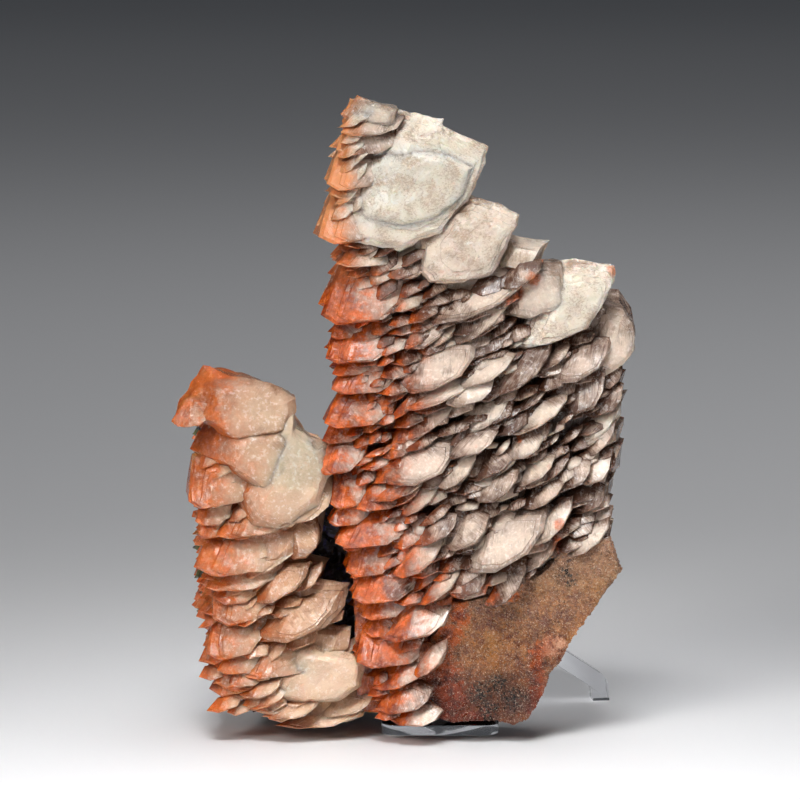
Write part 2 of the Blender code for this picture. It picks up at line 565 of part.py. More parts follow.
def shape_rock_point(point):
    """Round off the block: its top falls to the right, its bottom to the left, its back leans in."""
    up = max(0.0, (point.z - ROCK_LOW.z) / (ROCK_HIGH.z - ROCK_LOW.z))
    across = max(0.0, (point.x - ROCK_LOW.x) / (ROCK_HIGH.x - ROCK_LOW.x))
    back = max(0.0, (point.y - ROCK_LOW.y) / (ROCK_HIGH.y - ROCK_LOW.y))
    point.z -= ROCK_TOP_FALL * up * across ** 0.8
    point.x += ROCK_FOOT_DRAW * max(0.0, 1.0 - up / ROCK_FOOT_SHARE) * max(0.0, 1.0 - across)
    point.y -= BACK_LEAN * (ROCK_HIGH.z - ROCK_LOW.z) * up * back
    point.z = max(point.z, ROCK_LOW.z)
    point.y = max(point.y, ROCK_LOW.y)


def rock_left_edge(z):
    """The x of the rock's left side at this height, in millimetres."""
    up = (z * MM - ROCK_LOW.z) / (ROCK_HIGH.z - ROCK_LOW.z)
    return (ROCK_LOW.x + ROCK_FOOT_DRAW * max(0.0, 1.0 - up / ROCK_FOOT_SHARE)) / MM


def rounded_plate(width, low, high, corner, thick, name, collection):
    """A flat plate with rounded corners, lying in XY, its underside at z = 0."""
    bm = bmesh.new()
    corners = [(-width / 2, low), (width / 2, low), (width / 2, high), (-width / 2, high)]
    face = bm.faces.new([bm.verts.new((x, y, 0.0)) for x, y in corners])
    bmesh.ops.bevel(bm, geom=face.verts[:], offset=corner, segments=4, affect="VERTICES", profile=0.5)
    pushed = bmesh.ops.extrude_face_region(bm, geom=bm.faces[:])
    moved = [item for item in pushed["geom"] if isinstance(item, bmesh.types.BMVert)]
    bmesh.ops.translate(bm, verts=moved, vec=(0.0, 0.0, thick))
    return object_from(bm, name, collection)


def bend_points(path, radius, steps=4):
    """A path with its one inner corner rounded to an arc."""
    start, knee, end = path
    before = (start - knee).normalized()
    after = (end - knee).normalized()
    half = before.angle(after) / 2
    centre = knee + (before + after).normalized() * radius / math.sin(half)
    first = (knee + before * radius / math.tan(half) - centre).normalized()
    last = (knee + after * radius / math.tan(half) - centre).normalized()
    arc = [centre + first.slerp(last, step / steps) * radius for step in range(steps + 1)]
    return [start] + arc + [end]


def easel_leg(side, name, parts, look, behind_rest):
    """One leg: a bent strip that starts flat behind the back rest, runs out and down, and turns to the floor."""
    start_y = behind_rest(LEG_TOP.z - LEG_THICK) + LEG_WIDTH / 2
    top = Vector((EASEL_MIDDLE + side * LEG_TOP.x, start_y, LEG_TOP.z))
    knee = Vector((EASEL_MIDDLE + side * LEG_KNEE.x, LEG_KNEE.y, LEG_KNEE.z))
    heading = Vector((knee.x - top.x, knee.y - top.y, 0.0))
    run = heading.length
    heading.normalize()
    across = Vector((0.0, 0.0, 1.0)).cross(heading)
    corners = [Vector((0.0, top.z)), Vector((run, knee.z)), Vector((run + LEG_SPLAY, 0.0))]
    path = bend_points(corners, LEG_BEND)
    outer, inner = [], []
    for place, here in enumerate(path):
        behind = path[max(0, place - 1)]
        ahead = path[min(len(path) - 1, place + 1)]
        along = (ahead - behind).normalized()
        normal = Vector((-along.y, along.x))
        outer.append(here + normal * LEG_THICK / 2)
        inner.append(here - normal * LEG_THICK / 2)
    outer[-1].y = 0.0
    inner[-1].y = 0.0
    sides = []
    for half in (-0.5, 0.5):
        ring = []
        for corner in outer + inner[::-1]:
            point = Vector((top.x, top.y, 0.0)) + heading * corner.x + across * LEG_WIDTH * half
            ring.append(Vector((point.x, point.y, corner.y)))
        sides.append(ring)
    made = loft(sides, name, parts)
    made.data.materials.append(look)
    return made


def easel(parts, matrix):
    """The clear easel: base plate, back rest and two legs. The back rest meets the back of the rock."""
    look = material("clear_acrylic", (0.96, 0.97, 0.98), 0.03, transmission=1.0, ior=1.49)
    base = rounded_plate(BASE_WIDTH, BASE_FRONT, BASE_BACK, BASE_CORNER, SHEET, "easel_base", parts)
    base.location.x = EASEL_MIDDLE
    base.data.materials.append(look)
    lean = math.atan(BACK_LEAN)
    foot_at = GAP + max(
        vert.co.y + BACK_LEAN * vert.co.z
        for vert in matrix.data.vertices
        if abs(vert.co.x - EASEL_MIDDLE) < REST_WIDTH / 2 + REST_CORNER
    )
    rest_foot = SHEET + 2 * GAP
    rest = rounded_plate(REST_WIDTH, rest_foot, REST_TOP, REST_CORNER, SHEET, "easel_back_rest", parts)
    rest.rotation_euler.x = math.radians(90.0) + lean
    rest.location = (EASEL_MIDDLE, foot_at + SHEET / math.cos(lean), 0.0)
    rest.data.materials.append(look)

    def behind_rest(z):
        return foot_at + SHEET / math.cos(lean) + GAP - BACK_LEAN * z

    for side, name in ((-1.0, "easel_leg_left"), (1.0, "easel_leg_right")):
        easel_leg(side, name, parts, look, behind_rest)


def keep_clear(stack, obstacle, by, name):
    """Cut a stack away where a copy of its neighbour, grown by the gap, reaches."""
    helpers = bpy.data.collections.new(name)
    bpy.context.scene.collection.children.link(helpers)
    bm = bmesh.new()
    bm.from_mesh(obstacle.data)
    bm.normal_update()
    for vert in bm.verts:
        vert.co += vert.normal * by * CUT_SHARE
    cutter = object_from(bm, name, helpers)
    cutter.display_type = "WIRE"
    cutter.hide_render = True
    boolean(stack, "DIFFERENCE", cutter, CROWD_SOLVER)
    empty_collection(helpers)
    bpy.data.collections.remove(helpers)


def main():
    noise.seed_set(SEED)
    for old in list(bpy.data.objects):
        bpy.data.objects.remove(old)
    parts = bpy.data.collections.new(NAME)
    bpy.context.scene.collection.children.link(parts)
    calcite = material("banded_calcite", (0.74, 0.55, 0.44), 0.45)
    cream = material("cream_calcite", (0.78, 0.62, 0.50), 0.45)
    matrix = rock(parts)
    tall = calcite_stack("calcite_tall_stack", TALL_CORE, TALL_BLOCKS, TALL_BLOCK_DEPTH,
                         TALL_CRYSTALS, TALL_FRONT, tall_extra, calcite, parts)
    keep_clear(tall, matrix, GAP, "rock_clearance")
    largest_shell(tall)
    short = calcite_stack("calcite_short_stack", SHORT_CORE, SHORT_BLOCKS, SHORT_BLOCK_DEPTH,
                          SHORT_CRYSTALS, SHORT_FRONT, short_extra, cream, parts)
    keep_clear(short, matrix, GAP, "rock_clearance")
    keep_clear(short, tall, GAP, "stack_clearance")
    largest_shell(short)
    easel(parts, matrix)
    for made in parts.objects:
        made.data.calc_loop_triangles()
        print(made.name, len(made.data.loop_triangles), "triangles")


main()
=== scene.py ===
# %% [markdown]
# # Calcite with hematite inclusions
# This lesson dresses the plain solids of a mineral specimen. The real one is two stacks of flattened
# calcite crystals on a piece of dark rock, leaning on a small clear easel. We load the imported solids
# first, because every crystal we grow has to sit where they are.

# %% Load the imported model
import math
import random

import bmesh
import bpy
import numpy as np
from mathutils import Matrix, Vector, noise


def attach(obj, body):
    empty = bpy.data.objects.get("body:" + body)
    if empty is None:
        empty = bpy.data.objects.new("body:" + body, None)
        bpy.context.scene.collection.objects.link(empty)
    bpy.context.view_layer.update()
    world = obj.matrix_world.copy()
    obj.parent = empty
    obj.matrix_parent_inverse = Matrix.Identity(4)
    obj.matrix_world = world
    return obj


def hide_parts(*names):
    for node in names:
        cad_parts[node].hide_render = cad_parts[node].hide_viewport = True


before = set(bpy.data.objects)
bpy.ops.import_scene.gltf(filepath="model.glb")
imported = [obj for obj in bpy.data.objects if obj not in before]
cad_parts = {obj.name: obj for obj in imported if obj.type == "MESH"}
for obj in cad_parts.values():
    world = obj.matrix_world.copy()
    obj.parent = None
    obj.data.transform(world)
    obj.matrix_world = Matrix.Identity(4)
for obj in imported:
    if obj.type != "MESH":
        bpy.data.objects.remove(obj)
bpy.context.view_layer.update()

# %% [markdown]
# ## The camera
# The photograph was taken from a little above, with a long lens that keeps the crystals' proportions.
# The camera comes first, so that every later step can be judged in the same picture.

# %% Camera
MM = 0.001
TARGET = Vector((-0.00156, -0.010, 0.09825))
LIFT = math.radians(7.5)
DISTANCE = 1
LENS = 159.7

bpy.ops.object.camera_add(location=TARGET + Vector((0, -math.cos(LIFT), math.sin(LIFT))) * DISTANCE,
                          rotation=(math.pi / 2 - LIFT, 0, 0))
camera = bpy.context.object
camera.data.lens = LENS
bpy.context.scene.camera = camera
print("camera at", tuple(round(v, 3) for v in camera.location))

# %% [markdown]
# ## Growing one crystal
# Each crystal is a flat, shield-shaped plate. Its left end is the free tip, its underside is a convex
# arc, and its front is built of thin growth layers, one a little smaller than the one behind. By hand we
# would draw the outline as a filled circle, extrude it back, and inset the front face again and again,
# pushing each new face forward. The code does exactly that. Two bisects then leave clean creases, along
# which the tip, the top and the underside are bent back.

# %% A helper that grows a crystal
TOP_CREASE = 0.74


def pick_faces(thing, wanted):
    """In edit mode, select the faces that the test wants and nothing else."""
    bpy.ops.mesh.select_all(action="DESELECT")
    bm = bmesh.from_edit_mesh(thing.data)
    for face in bm.faces:
        if wanted(face):
            face.select_set(True)
    bmesh.update_edit_mesh(thing.data)


def cut_across(where, along):
    """Cut the whole mesh along a plane, so that it can bend there."""
    bpy.ops.mesh.select_all(action="SELECT")
    bpy.ops.mesh.bisect(plane_co=where, plane_no=along)


def coords_of(thing):
    flat = np.empty(len(thing.data.vertices) * 3, np.float32)
    thing.data.vertices.foreach_get("co", flat)
    return flat.reshape(-1, 3)


def set_coords(thing, coords):
    thing.data.vertices.foreach_set("co", np.ascontiguousarray(coords, np.float32).ravel())
    thing.data.update()


def grow_crystal(name, outline, layers, depth, root=0.85, tip=0.30, cuts=1, lean=0.48):
    """One crystal from its outline (millimetres in X and Z), standing in place, its front towards -Y.

    Each growth layer is how far it stands forward, in millimetres, its size against the one behind, and
    the place that it shrinks towards, as shares of the crystal's width and height.
    """
    xs = [x for x, _ in outline]
    zs = [z for _, z in outline]
    low = Vector((min(xs), 0, min(zs))) * MM
    size = Vector((max(xs) - min(xs), 0, max(zs) - min(zs))) * MM
    bpy.ops.object.select_all(action="DESELECT")
    bpy.ops.mesh.primitive_circle_add(vertices=len(outline), radius=size.x / 2, fill_type="NGON")
    crystal = bpy.context.object
    crystal.name = name
    for vert, (x, z) in zip(crystal.data.vertices, outline):
        vert.co = (x * MM, 0, z * MM)
    bpy.ops.object.mode_set(mode="EDIT")
    bpy.ops.mesh.select_all(action="SELECT")
    bpy.ops.mesh.extrude_region_move(TRANSFORM_OT_translate={"value": (0, depth * MM, 0)})
    bpy.ops.transform.resize(value=(root, 1, root), center_override=low + size / 2)
    bpy.ops.mesh.select_all(action="SELECT")
    bpy.ops.mesh.normals_make_consistent(inside=False)
    pick_faces(crystal, lambda face: face.normal.y < -0.9)
    for forward, share, share_x, share_z in layers:
        centre = low + Vector((size.x * share_x, 0, size.z * share_z))
        bpy.ops.mesh.extrude_region_move(TRANSFORM_OT_translate={"value": (0, -forward * MM, 0)})
        bpy.ops.transform.resize(value=(share, 1, share), center_override=centre)
    bpy.ops.mesh.poke()
    cut_across(low + Vector((size.x * tip, 0, 0)), (1, 0, -0.45))
    cut_across(low + Vector((0, 0, size.z * TOP_CREASE)), (-0.06, 0, 1))
    bpy.ops.mesh.select_all(action="SELECT")
    bpy.ops.mesh.quads_convert_to_tris()
    if cuts:
        bpy.ops.mesh.subdivide(number_cuts=cuts)
    bpy.ops.object.mode_set(mode="OBJECT")
    coords = coords_of(crystal)
    across = (coords[:, 0] - low.x) / size.x
    up = (coords[:, 2] - low.z) / size.z
    in_front = coords[:, 1] < depth * MM * 0.5
    back = 0.42 * size.x * np.maximum(0, tip - across + 0.45 * up * size.z / size.x)
    back += 0.30 * size.z * np.maximum(0, up - TOP_CREASE) + lean * size.z * up
    coords[:, 1] += np.where(in_front, back, 0)
    set_coords(crystal, coords)
    return crystal


def fine_outline(outline, step, jitter, seed):
    """An outline with a point every step millimetres, each moved a little, so that no edge is ruled."""
    dice = random.Random(seed)
    points = []
    for (x, z), (next_x, next_z) in zip(outline, outline[1:] + outline[:1]):
        count = max(1, round(math.hypot(next_x - x, next_z - z) / step))
        for place in range(count):
            share = place / count
            slip = jitter if place else jitter * 0.4
            points.append((x + (next_x - x) * share + dice.uniform(-slip, slip),
                           z + (next_z - z) * share + dice.uniform(-slip, slip)))
    return points


# %% [markdown]
# ## Five crystals to copy
# A specimen like this one has hundreds of crystals that share one habit. We model four large ones and a
# plainer small one, and copy those. Each copy is stretched, turned and weathered on its own later, so no
# two look alike.

# %% Model the crystals that are copied
MASTER_WIDTH, MASTER_HEIGHT, MASTER_DEPTH, SMALL_DEPTH = 20, 11, 13, 9
SHIELD = [(0, 3), (5.6, 8.6), (12, 11), (20, 9.4), (18.8, 5.6), (15.4, 2), (9, 0), (3.4, 0.9)]
TOOTH = [(0, 1.5), (2.6, 7), (4.6, 10.4), (8, 11), (20, 10), (17.6, 4.4), (11.6, 0.6), (3, 0)]
SLAB = [(0, 2.2), (4.6, 7.4), (8, 10.4), (14.6, 11), (20, 7.6), (17.4, 3.4), (13, 0.6), (4.4, 0)]
LEAF = [(0, 1.4), (6.6, 6.4), (13, 9.8), (20, 11), (18.6, 7), (14.4, 3), (8.6, 0.5), (3.4, 0)]
BLADE = [(0, 2.4), (5, 9.2), (14, 11), (20, 8.4), (18, 2.4), (8, 0)]
STEPS = [(0.80, 0.90, 0.60, 0.45), (0.04, 0.90, 0.78, 0.20), (0.34, 0.99, 0.78, 0.20),
         (0.04, 0.82, 0.62, 0.35), (0.30, 0.985, 0.62, 0.35), (0.10, 0.55, 0.60, 0.50)]
SIDE_STEPS = [(0.70, 0.92, 0.55, 0.40), (0.03, 0.88, 0.95, 0.10), (0.40, 0.99, 0.95, 0.10),
              (0.03, 0.80, 0.40, 0.15), (0.26, 0.98, 0.40, 0.15), (0.08, 0.60, 0.60, 0.50)]
THIN_STEPS = [(0.55, 0.93, 0.60, 0.50), (0.03, 0.86, 0.85, 0.60), (0.30, 0.99, 0.85, 0.60),
              (0.06, 0.55, 0.60, 0.50)]
FEW_STEPS = [(0.75, 0.88, 0.60, 0.45), (0.04, 0.80, 0.80, 0.25), (0.35, 0.97, 0.80, 0.25)]

masters = {
    "shield": grow_crystal("shield_crystal", SHIELD, STEPS, MASTER_DEPTH),
    "tooth": grow_crystal("tooth_crystal", TOOTH, SIDE_STEPS, MASTER_DEPTH, tip=0.24),
    "slab": grow_crystal("slab_crystal", SLAB, SIDE_STEPS, MASTER_DEPTH, tip=0.36),
    "leaf": grow_crystal("leaf_crystal", LEAF, THIN_STEPS, MASTER_DEPTH, tip=0.42),
    "small": grow_crystal("small_crystal", BLADE, FEW_STEPS, SMALL_DEPTH, tip=0.34, cuts=0),
}
for master in masters.values():
    print(master.name, len(master.data.polygons), "faces")

# %% [markdown]
# ## Copying a crystal into place
# A copy takes its own mesh, is stretched to its width and height, turned in the plane of the front, and
# moved to its corner. Before that it notes its own measures on its points, because the finish follows
# the crystal and not the room: how far a point lies from the tip, how high it sits in the crystal, where
# it is in the crystal's grain, and how milky this crystal is.

# %% A helper that places a copy
def note(thing, name, values):
    """Keep one number for each point of a mesh, for the material to read."""
    layer = thing.data.attributes.get(name) or thing.data.attributes.new(name, "FLOAT", "POINT")
    layer.data.foreach_set("value", np.ascontiguousarray(values, np.float32))


def note_grain(thing, values):
    layer = thing.data.attributes.get("grain") or thing.data.attributes.new("grain", "FLOAT_VECTOR", "POINT")
    layer.data.foreach_set("vector", np.ascontiguousarray(values, np.float32).ravel())


def mark(thing, local, size, milk, dice):
    """Note what the finish needs: place along and up the crystal, grain, milkiness and tone."""
    count = len(local)
    note(thing, "along", np.clip(local[:, 0] / size[0], 0, 1))
    note(thing, "up", np.clip(local[:, 2] / size[1], 0, 1))
    shift = np.array([dice.uniform(0, 90), dice.uniform(0, 90), dice.uniform(0, 90)])
    note_grain(thing, local / MM + shift)
    note(thing, "milk", np.full(count, milk))
    note(thing, "tone", np.full(count, dice.random()))


def turn_points(points, degrees, about, axis="Y"):
    matrix = np.array(Matrix.Rotation(-math.radians(degrees), 3, axis))
    return (points - about) @ matrix.T + about


def place(kind, left, bottom, width, height, degrees, at, dice, milk=0.5, back=False, sunk=0, roof=0):
    """A copy of a master crystal, by its left end, bottom, width and height, its front at y = at.

    The sizes are in millimetres. A sunk crystal is turned so that its right end goes into the stack, by
    so many degrees. One with a roof leans its top into the stack, like a roof tile.
    """
    left, bottom, width, height, at = (value * MM for value in (left, bottom, width, height, at))
    copy = masters[kind].copy()
    copy.data = masters[kind].data.copy()
    bpy.context.scene.collection.objects.link(copy)
    local = coords_of(copy)
    scale_x = width / (MASTER_WIDTH * MM)
    scale_z = height / (MASTER_HEIGHT * MM)
    slant = dice.uniform(-0.22, 0.22)
    local[:, 0] += slant * (local[:, 2] - MASTER_HEIGHT / 2 * MM)
    local = local * np.array([scale_x, (scale_x + scale_z) / 2, scale_z])
    mark(copy, local, (width, height), milk, dice)
    local[:, 1] -= local[:, 1].min()
    middle = np.array([width / 2, 0, height / 2])
    for angle, axis in ((degrees, "Y"), (dice.uniform(-7, 7) + roof, "X"), (dice.uniform(-6, 6) - sunk, "Z")):
        local = turn_points(local, angle, middle, axis)
    if back:
        local[:, 1] *= -1
        copy.data.flip_normals()
    set_coords(copy, local + np.array([left, at, bottom]))
    return copy


def choose(*things):
    """Select these objects and nothing else, and make the first one active."""
    bpy.ops.object.select_all(action="DESELECT")
    for thing in things:
        thing.select_set(True)
    bpy.context.view_layer.objects.active = things[0]


def join(pieces, name):
    """Join the pieces to one object that sits at the origin."""
    choose(*pieces)
    bpy.ops.object.join()
    joined = bpy.context.object
    joined.name = name
    joined.data.name = name
    print(name, len(joined.data.polygons), "faces from", len(pieces), "crystals")
    return joined


def weather(thing, *octaves):
    """Push the points about by noise. Each octave is a grain size and a strength, in millimetres."""
    coords = coords_of(thing)
    pushed = coords.copy()
    for grain, strength in octaves:
        for index, point in enumerate(coords):
            pushed[index] += np.array(noise.noise_vector(Vector(point) / (grain * MM))) * strength * MM
    set_coords(thing, pushed)


# %% [markdown]
# ## Where the crystals grow
# The lists below are the plan of the specimen, read off, one line of numbers for each large
# crystal: left end, bottom, width, height, turn in degrees, and how far it is set back, in millimetres.
# The front of each stack bulges towards the viewer in the middle.

# %% The plan of the tall stack
noise.seed_set(5)
TALL = [
    (-19.4, 172.6, 16.5, 6.6, -3, 2), (-22, 167.2, 17.5, 7.4, -2, 1), (-23.3, 157.6, 18, 11.4, 0, 0),
    (-23.4, 155.2, 16, 5.6, 0, 2), (-25.7, 142.9, 24, 14.2, 0, 0),
    (-19.2, 141.2, 18, 4.4, 0, 4), (-20.3, 136.2, 20.5, 6.2, 0, 3), (-11.5, 135.8, 19, 7.8, 0, 6),
    (-25.1, 120.1, 26, 17.2, 0, -1), (2.1, 122.5, 25.4, 10.4, 6, 1), (18, 126.4, 10, 10, 4, 5),
    (-22.2, 115.6, 10, 5.4, 0, 3), (-23.4, 109.1, 21, 11.6, 0, 0), (-4.6, 113.4, 14.6, 12.2, 4, 4),
    (9.2, 116.8, 17.4, 8.4, 12, 2), (9.6, 111, 17.4, 6.4, 8, 4),
    (-20.6, 105.4, 11.5, 4.6, 0, 2), (-20.3, 100.2, 19.6, 8, 0, 1), (-6.9, 102, 22, 12.2, 4, -1),
    (9.8, 103.6, 17, 8, 8, 0), (21.2, 101.7, 16.8, 11.6, 3, -1), (-1.8, 98.1, 20, 8, 3, 0),
    (9.6, 98.1, 12.8, 7.2, 5, -1), (-22, 91, 19.8, 9.8, 0, -1), (-4, 89.8, 16.8, 8.2, 12, 3),
    (12.4, 90.7, 14.6, 8, 14, 3), (26.6, 91, 16.6, 8.2, 8, 0), (-23.1, 86, 12.2, 6.6, 0, 2),
    (-7.4, 82.8, 11.8, 7.6, 4, 3), (9, 83.6, 13.6, 7.4, 3, -1), (26.2, 82.8, 10.6, 6.2, 10, 0),
    (-24, 77.7, 13.6, 11.2, 0, -2), (15.8, 77.7, 12.8, 8.2, 12, 2), (28, 75.7, 11.8, 6.8, 14, 2),
    (-12.3, 75, 21.8, 12.6, 0, -1), (7, 75, 11, 9.2, 6, 0), (42.2, 74.8, 10, 6.6, 12, 0),
    (47.7, 75.2, 10.2, 9.2, 6, 0), (-20.6, 67.7, 10.8, 11, 0, 0), (-12.9, 70.7, 14.8, 5.6, 2, 1),
    (-13.7, 67.5, 14, 5.2, 2, 1), (17.5, 70.6, 11.6, 8, 5, 0), (32.2, 69.2, 11, 6.6, 10, 1),
    (-3.2, 67.2, 11, 8, 6, 3), (46.2, 67, 10, 8.2, 6, 3),
    (-20.6, 62.8, 11.6, 6.6, 0, 0), (-19.1, 57, 21.4, 10.2, 0, -1), (-17.7, 55.2, 7, 4.4, 0, 3),
    (-17.4, 48.4, 14.6, 10, 0, 0), (-6.3, 49.6, 15.2, 11.2, 4, -1), (9.6, 51, 24.8, 15.4, 6, -2),
    (9, 57.7, 11.8, 10.4, 8, -1), (1, 59.4, 11.8, 7.2, 14, 0), (33, 59.4, 12.4, 9.8, 8, -1),
    (28, 50.9, 13.8, 9.6, 10, 4), (43.2, 54.9, 14.4, 8.8, 4, 1), (-16.6, 41, 18.8, 10, 0, -1),
    (-14.6, 36.4, 13.8, 7.6, 0, 1), (1.6, 42.4, 14, 7.8, 10, 1), (11, 43.5, 11.8, 8.4, 8, 1),
    (20.4, 41.3, 14.6, 11.4, 8, 1), (-9.2, 31.2, 21.4, 10.8, 0, -1),
    (-13.2, 31, 10.2, 6.4, 0, 2), (-16.3, 22.7, 22.2, 11.2, 0, 0), (-0.3, 21, 12, 8.4, 6, 0),
    (-11.8, 16.4, 18.8, 7.4, 0, 1), (-10.3, 9.6, 17.6, 8.4, 0, 0), (-6.1, 5.8, 15.6, 7.4, -12, 1),
    (24.4, 130.6, 11, 7, 4, 0), (36.8, 104.3, 17.6, 11.6, 6, 0), (40.2, 95, 15.8, 13.2, 10, 1),
    (52.7, 101.5, 8.6, 8, 4, 3), (47.8, 94.1, 13.4, 9.4, 8, 3), (43.6, 85.6, 17.2, 11.2, 8, 4),
    (48.5, 82.8, 10.4, 8, 4, 1),
]
TALL_FRONT = dict(middle=18, half=50, side=-8, bulge=-9.5, tips=-13, move=2.3,
                  stretch=lambda x, z: 1.05 if x > 40 or z < 46 else 1.24)
LARGE_WIDTH, LARGE_MILK = 19, 0.68


def front_at(x, front):
    """How far forward the crystals of a stack stand at this x, in millimetres."""
    across = min(1, abs(x - front["middle"]) / front["half"])
    return front["side"] + front["bulge"] * (1 - across * across)


def smooth(value, low, high):
    share = np.clip((value - low) / (high - low), 0, 1)
    return share * share * (3 - 2 * share)


def grow_list(listed, front, dice, milk_at):
    made = []
    for left, bottom, width, height, degrees, set_back in listed:
        at_left = left < front["tips"]
        kind = "tooth" if at_left else dice.choice(["shield", "leaf", "slab"])
        wide = width * (1.06 if at_left else front["stretch"](left, bottom))
        high = height * (1.12 if at_left else 1.14)
        if at_left:
            left += front["move"] * (smooth(bottom, 100, 130) + smooth(bottom, 60, 40))
        at = front_at(left + wide / 2, front) + set_back * 0.7 - (0.7 if at_left else 1.3)
        milk = max(milk_at(left, bottom), LARGE_MILK if width > LARGE_WIDTH else 0)
        made.append(place(kind, left, bottom, wide, high, degrees + (0 if at_left else 8), at, dice,
                          milk=milk, sunk=10 if at_left else -7, roof=4 if at_left else 9))
    return made


def tall_milk(x, z):
    """The top of the stack is milky white, and the middle clear and grey from one crystal to the next."""
    kind = dice.choice([0.80, 0.72, 0.58, 0.46, 0.26])
    return kind + 0.15 * smooth(z, 118, 140) + dice.uniform(-0.06, 0.06)


dice = random.Random(11)
tall_main = join(grow_list(TALL, TALL_FRONT, dice, tall_milk), "calcite_tall_crystals")

# %% [markdown]
# ## The largest crystals
# The blocks at the top and at the right shoulder are as wide as a thumb, and each has an outline of its
# own, so they are grown one by one from that outline. A point every two millimetres, slightly moved,
# gives the small steps that real edges have. The topmost block is one large plate with a softer lens of
# calcite on its front, and a ladder of short ribs climbs its left side.

# %% Grow the blocks of the tall stack
BLOCK_LAYERS = [(1.4, 0.94, 0.55, 0.45), (0.05, 0.94, 0.80, 0.30), (0.6, 0.992, 0.80, 0.30),
                (0.05, 0.90, 0.50, 0.20), (0.5, 0.99, 0.50, 0.20), (0.05, 0.80, 0.75, 0.45),
                (0.35, 0.985, 0.75, 0.45), (0.2, 0.70, 0.5, 0.5), (0.1, 0.5, 0.5, 0.5)]
WAXY_LAYERS = [(1.8, 0.90, 0.60, 0.45), (1, 0.92, 0.70, 0.40), (0.6, 0.90, 0.60, 0.35),
               (0.3, 0.80, 0.60, 0.45), (0.1, 0.6, 0.5, 0.5)]
LENS_NUMBER = 2
TALL_BLOCK_DEPTH, SHORT_BLOCK_DEPTH = 26, 20


def grow_block(name, outline, at, depth, dice, milk, layers):
    block = grow_crystal(name, fine_outline(outline, 2.2, 0.22, dice.random()), layers, depth, tip=0.24,
                         cuts=2, lean=0.14)
    xs = [x for x, _ in outline]
    zs = [z for _, z in outline]
    size = ((max(xs) - min(xs)) * MM, (max(zs) - min(zs)) * MM)
    coords = coords_of(block)
    mark(block, coords - np.array([min(xs) * MM, 0, min(zs) * MM]), size, milk, dice)
    coords[:, 1] += at * MM - coords[:, 1].min()
    set_coords(block, coords)
    return block


def block_front(outline, front):
    """The y of a block's front, just before the small crystals around it."""
    middle = (min(x for x, _ in outline) + max(x for x, _ in outline)) / 2
    return front_at(middle, front) - 0.6


TALL_BLOCKS = [
    ([(-18.3, 178.5), (-14, 183.3), (-1.8, 179.9), (-3, 175.4), (-14, 175.8)], 2, 0.8),
    ([(-16, 182.4), (-1.8, 179.9), (10.6, 176.8), (10.2, 175.3), (23.4, 169.4), (21.4, 163.2),
      (18.3, 156.1), (9.8, 145.9), (-1.6, 141.1), (-15.7, 143), (-22.6, 146.4), (-20, 152),
      (-20.6, 157.6), (-18.4, 163.6), (-19.4, 168.6), (-17.2, 172.6), (-17.8, 176)], 0, 1),
    ([(-14, 166), (-9, 171.4), (2, 171.8), (14, 168.4), (19.6, 164.6), (17, 156.4), (9.6, 150),
      (-1, 147), (-12, 148.4), (-16, 153), (-15.4, 160)], -0.9, 1),
    ([(2, 144), (8.6, 152.6), (18, 156.3), (24.5, 154.1), (31.8, 150.4), (31, 147.6), (27.4, 140.5),
      (24, 134.6), (16, 132), (6.4, 132.2), (1.6, 136.3)], 0, 0.9),
    ([(26.5, 122.4), (27.1, 132.6), (30.2, 136.6), (43.8, 137.4), (45.4, 125.5), (34.4, 121.6)], 1, 0.8),
    ([(30.5, 113.6), (33.6, 121.5), (37.3, 136.5), (47.5, 137.7), (58.3, 136.5), (58.5, 132.3), (55.1, 125.2),
      (50.6, 118.7), (42.4, 115.2), (35.3, 113)], -1, 0.95),
    ([(50.3, 111.3), (52.3, 120.4), (55.2, 125.8), (61.4, 124.4), (64.2, 120.4), (65.1, 116.1), (64.5, 112.4),
      (61.1, 108.2), (55.1, 104.5), (51.5, 106)], 1, 0.75),
]
RIBS = [
    (-18.2, 175.6, 10, 5, 10), (-18.8, 171.4, 10, 5, 14), (-20.2, 167.4, 10.6, 5.8, 14),
    (-19.6, 163.2, 9, 5, 18), (-20.8, 158.4, 10.6, 5.8, 18), (-20.4, 154.4, 8.6, 4.6, 22),
    (-21.8, 150, 10, 5.4, 18), (-23.6, 144.6, 12.6, 6.4, 12), (-16.6, 166, 8, 3.6, 24),
    (-16.4, 161, 7, 3.4, 26), (-16.6, 152.6, 7, 3.2, 26), (-18, 147.6, 8, 3.4, 20),
]
blocks = [place("leaf", *rib, front_at(-12, TALL_FRONT) - 0.1, dice, milk=0.95, sunk=3, roof=4)
          for rib in RIBS]
for number, (outline, set_back, milk) in enumerate(TALL_BLOCKS):
    blocks.append(grow_block(f"tall_block_{number}", outline, block_front(outline, TALL_FRONT) + set_back,
                             TALL_BLOCK_DEPTH, dice, milk,
                             WAXY_LAYERS if number == LENS_NUMBER else BLOCK_LAYERS))
tall_blocks = join(blocks, "calcite_tall_blocks")

# %% [markdown]
# ## The small crystals between
# Between the large crystals the real stack is packed with small ones, in rows that rise to the right.
# They sit a little deeper, so they fill the gaps and catch a glint here and there. A row is a loop with
# steps of uneven length, and most of its crystals are copies of the small one.

# %% Fill the front of the tall stack
TALL_OUTLINE = [(-9, 8), (-11, 30), (-12, 45), (-14, 60), (-16, 75), (-18, 105), (-18, 132), (-14, 144),
                (8, 172), (16, 157), (27, 150), (27, 138), (36, 134), (56, 132), (57, 118), (55, 96),
                (52, 66), (50, 56), (36, 50), (10, 42), (0, 28), (-3, 8)]


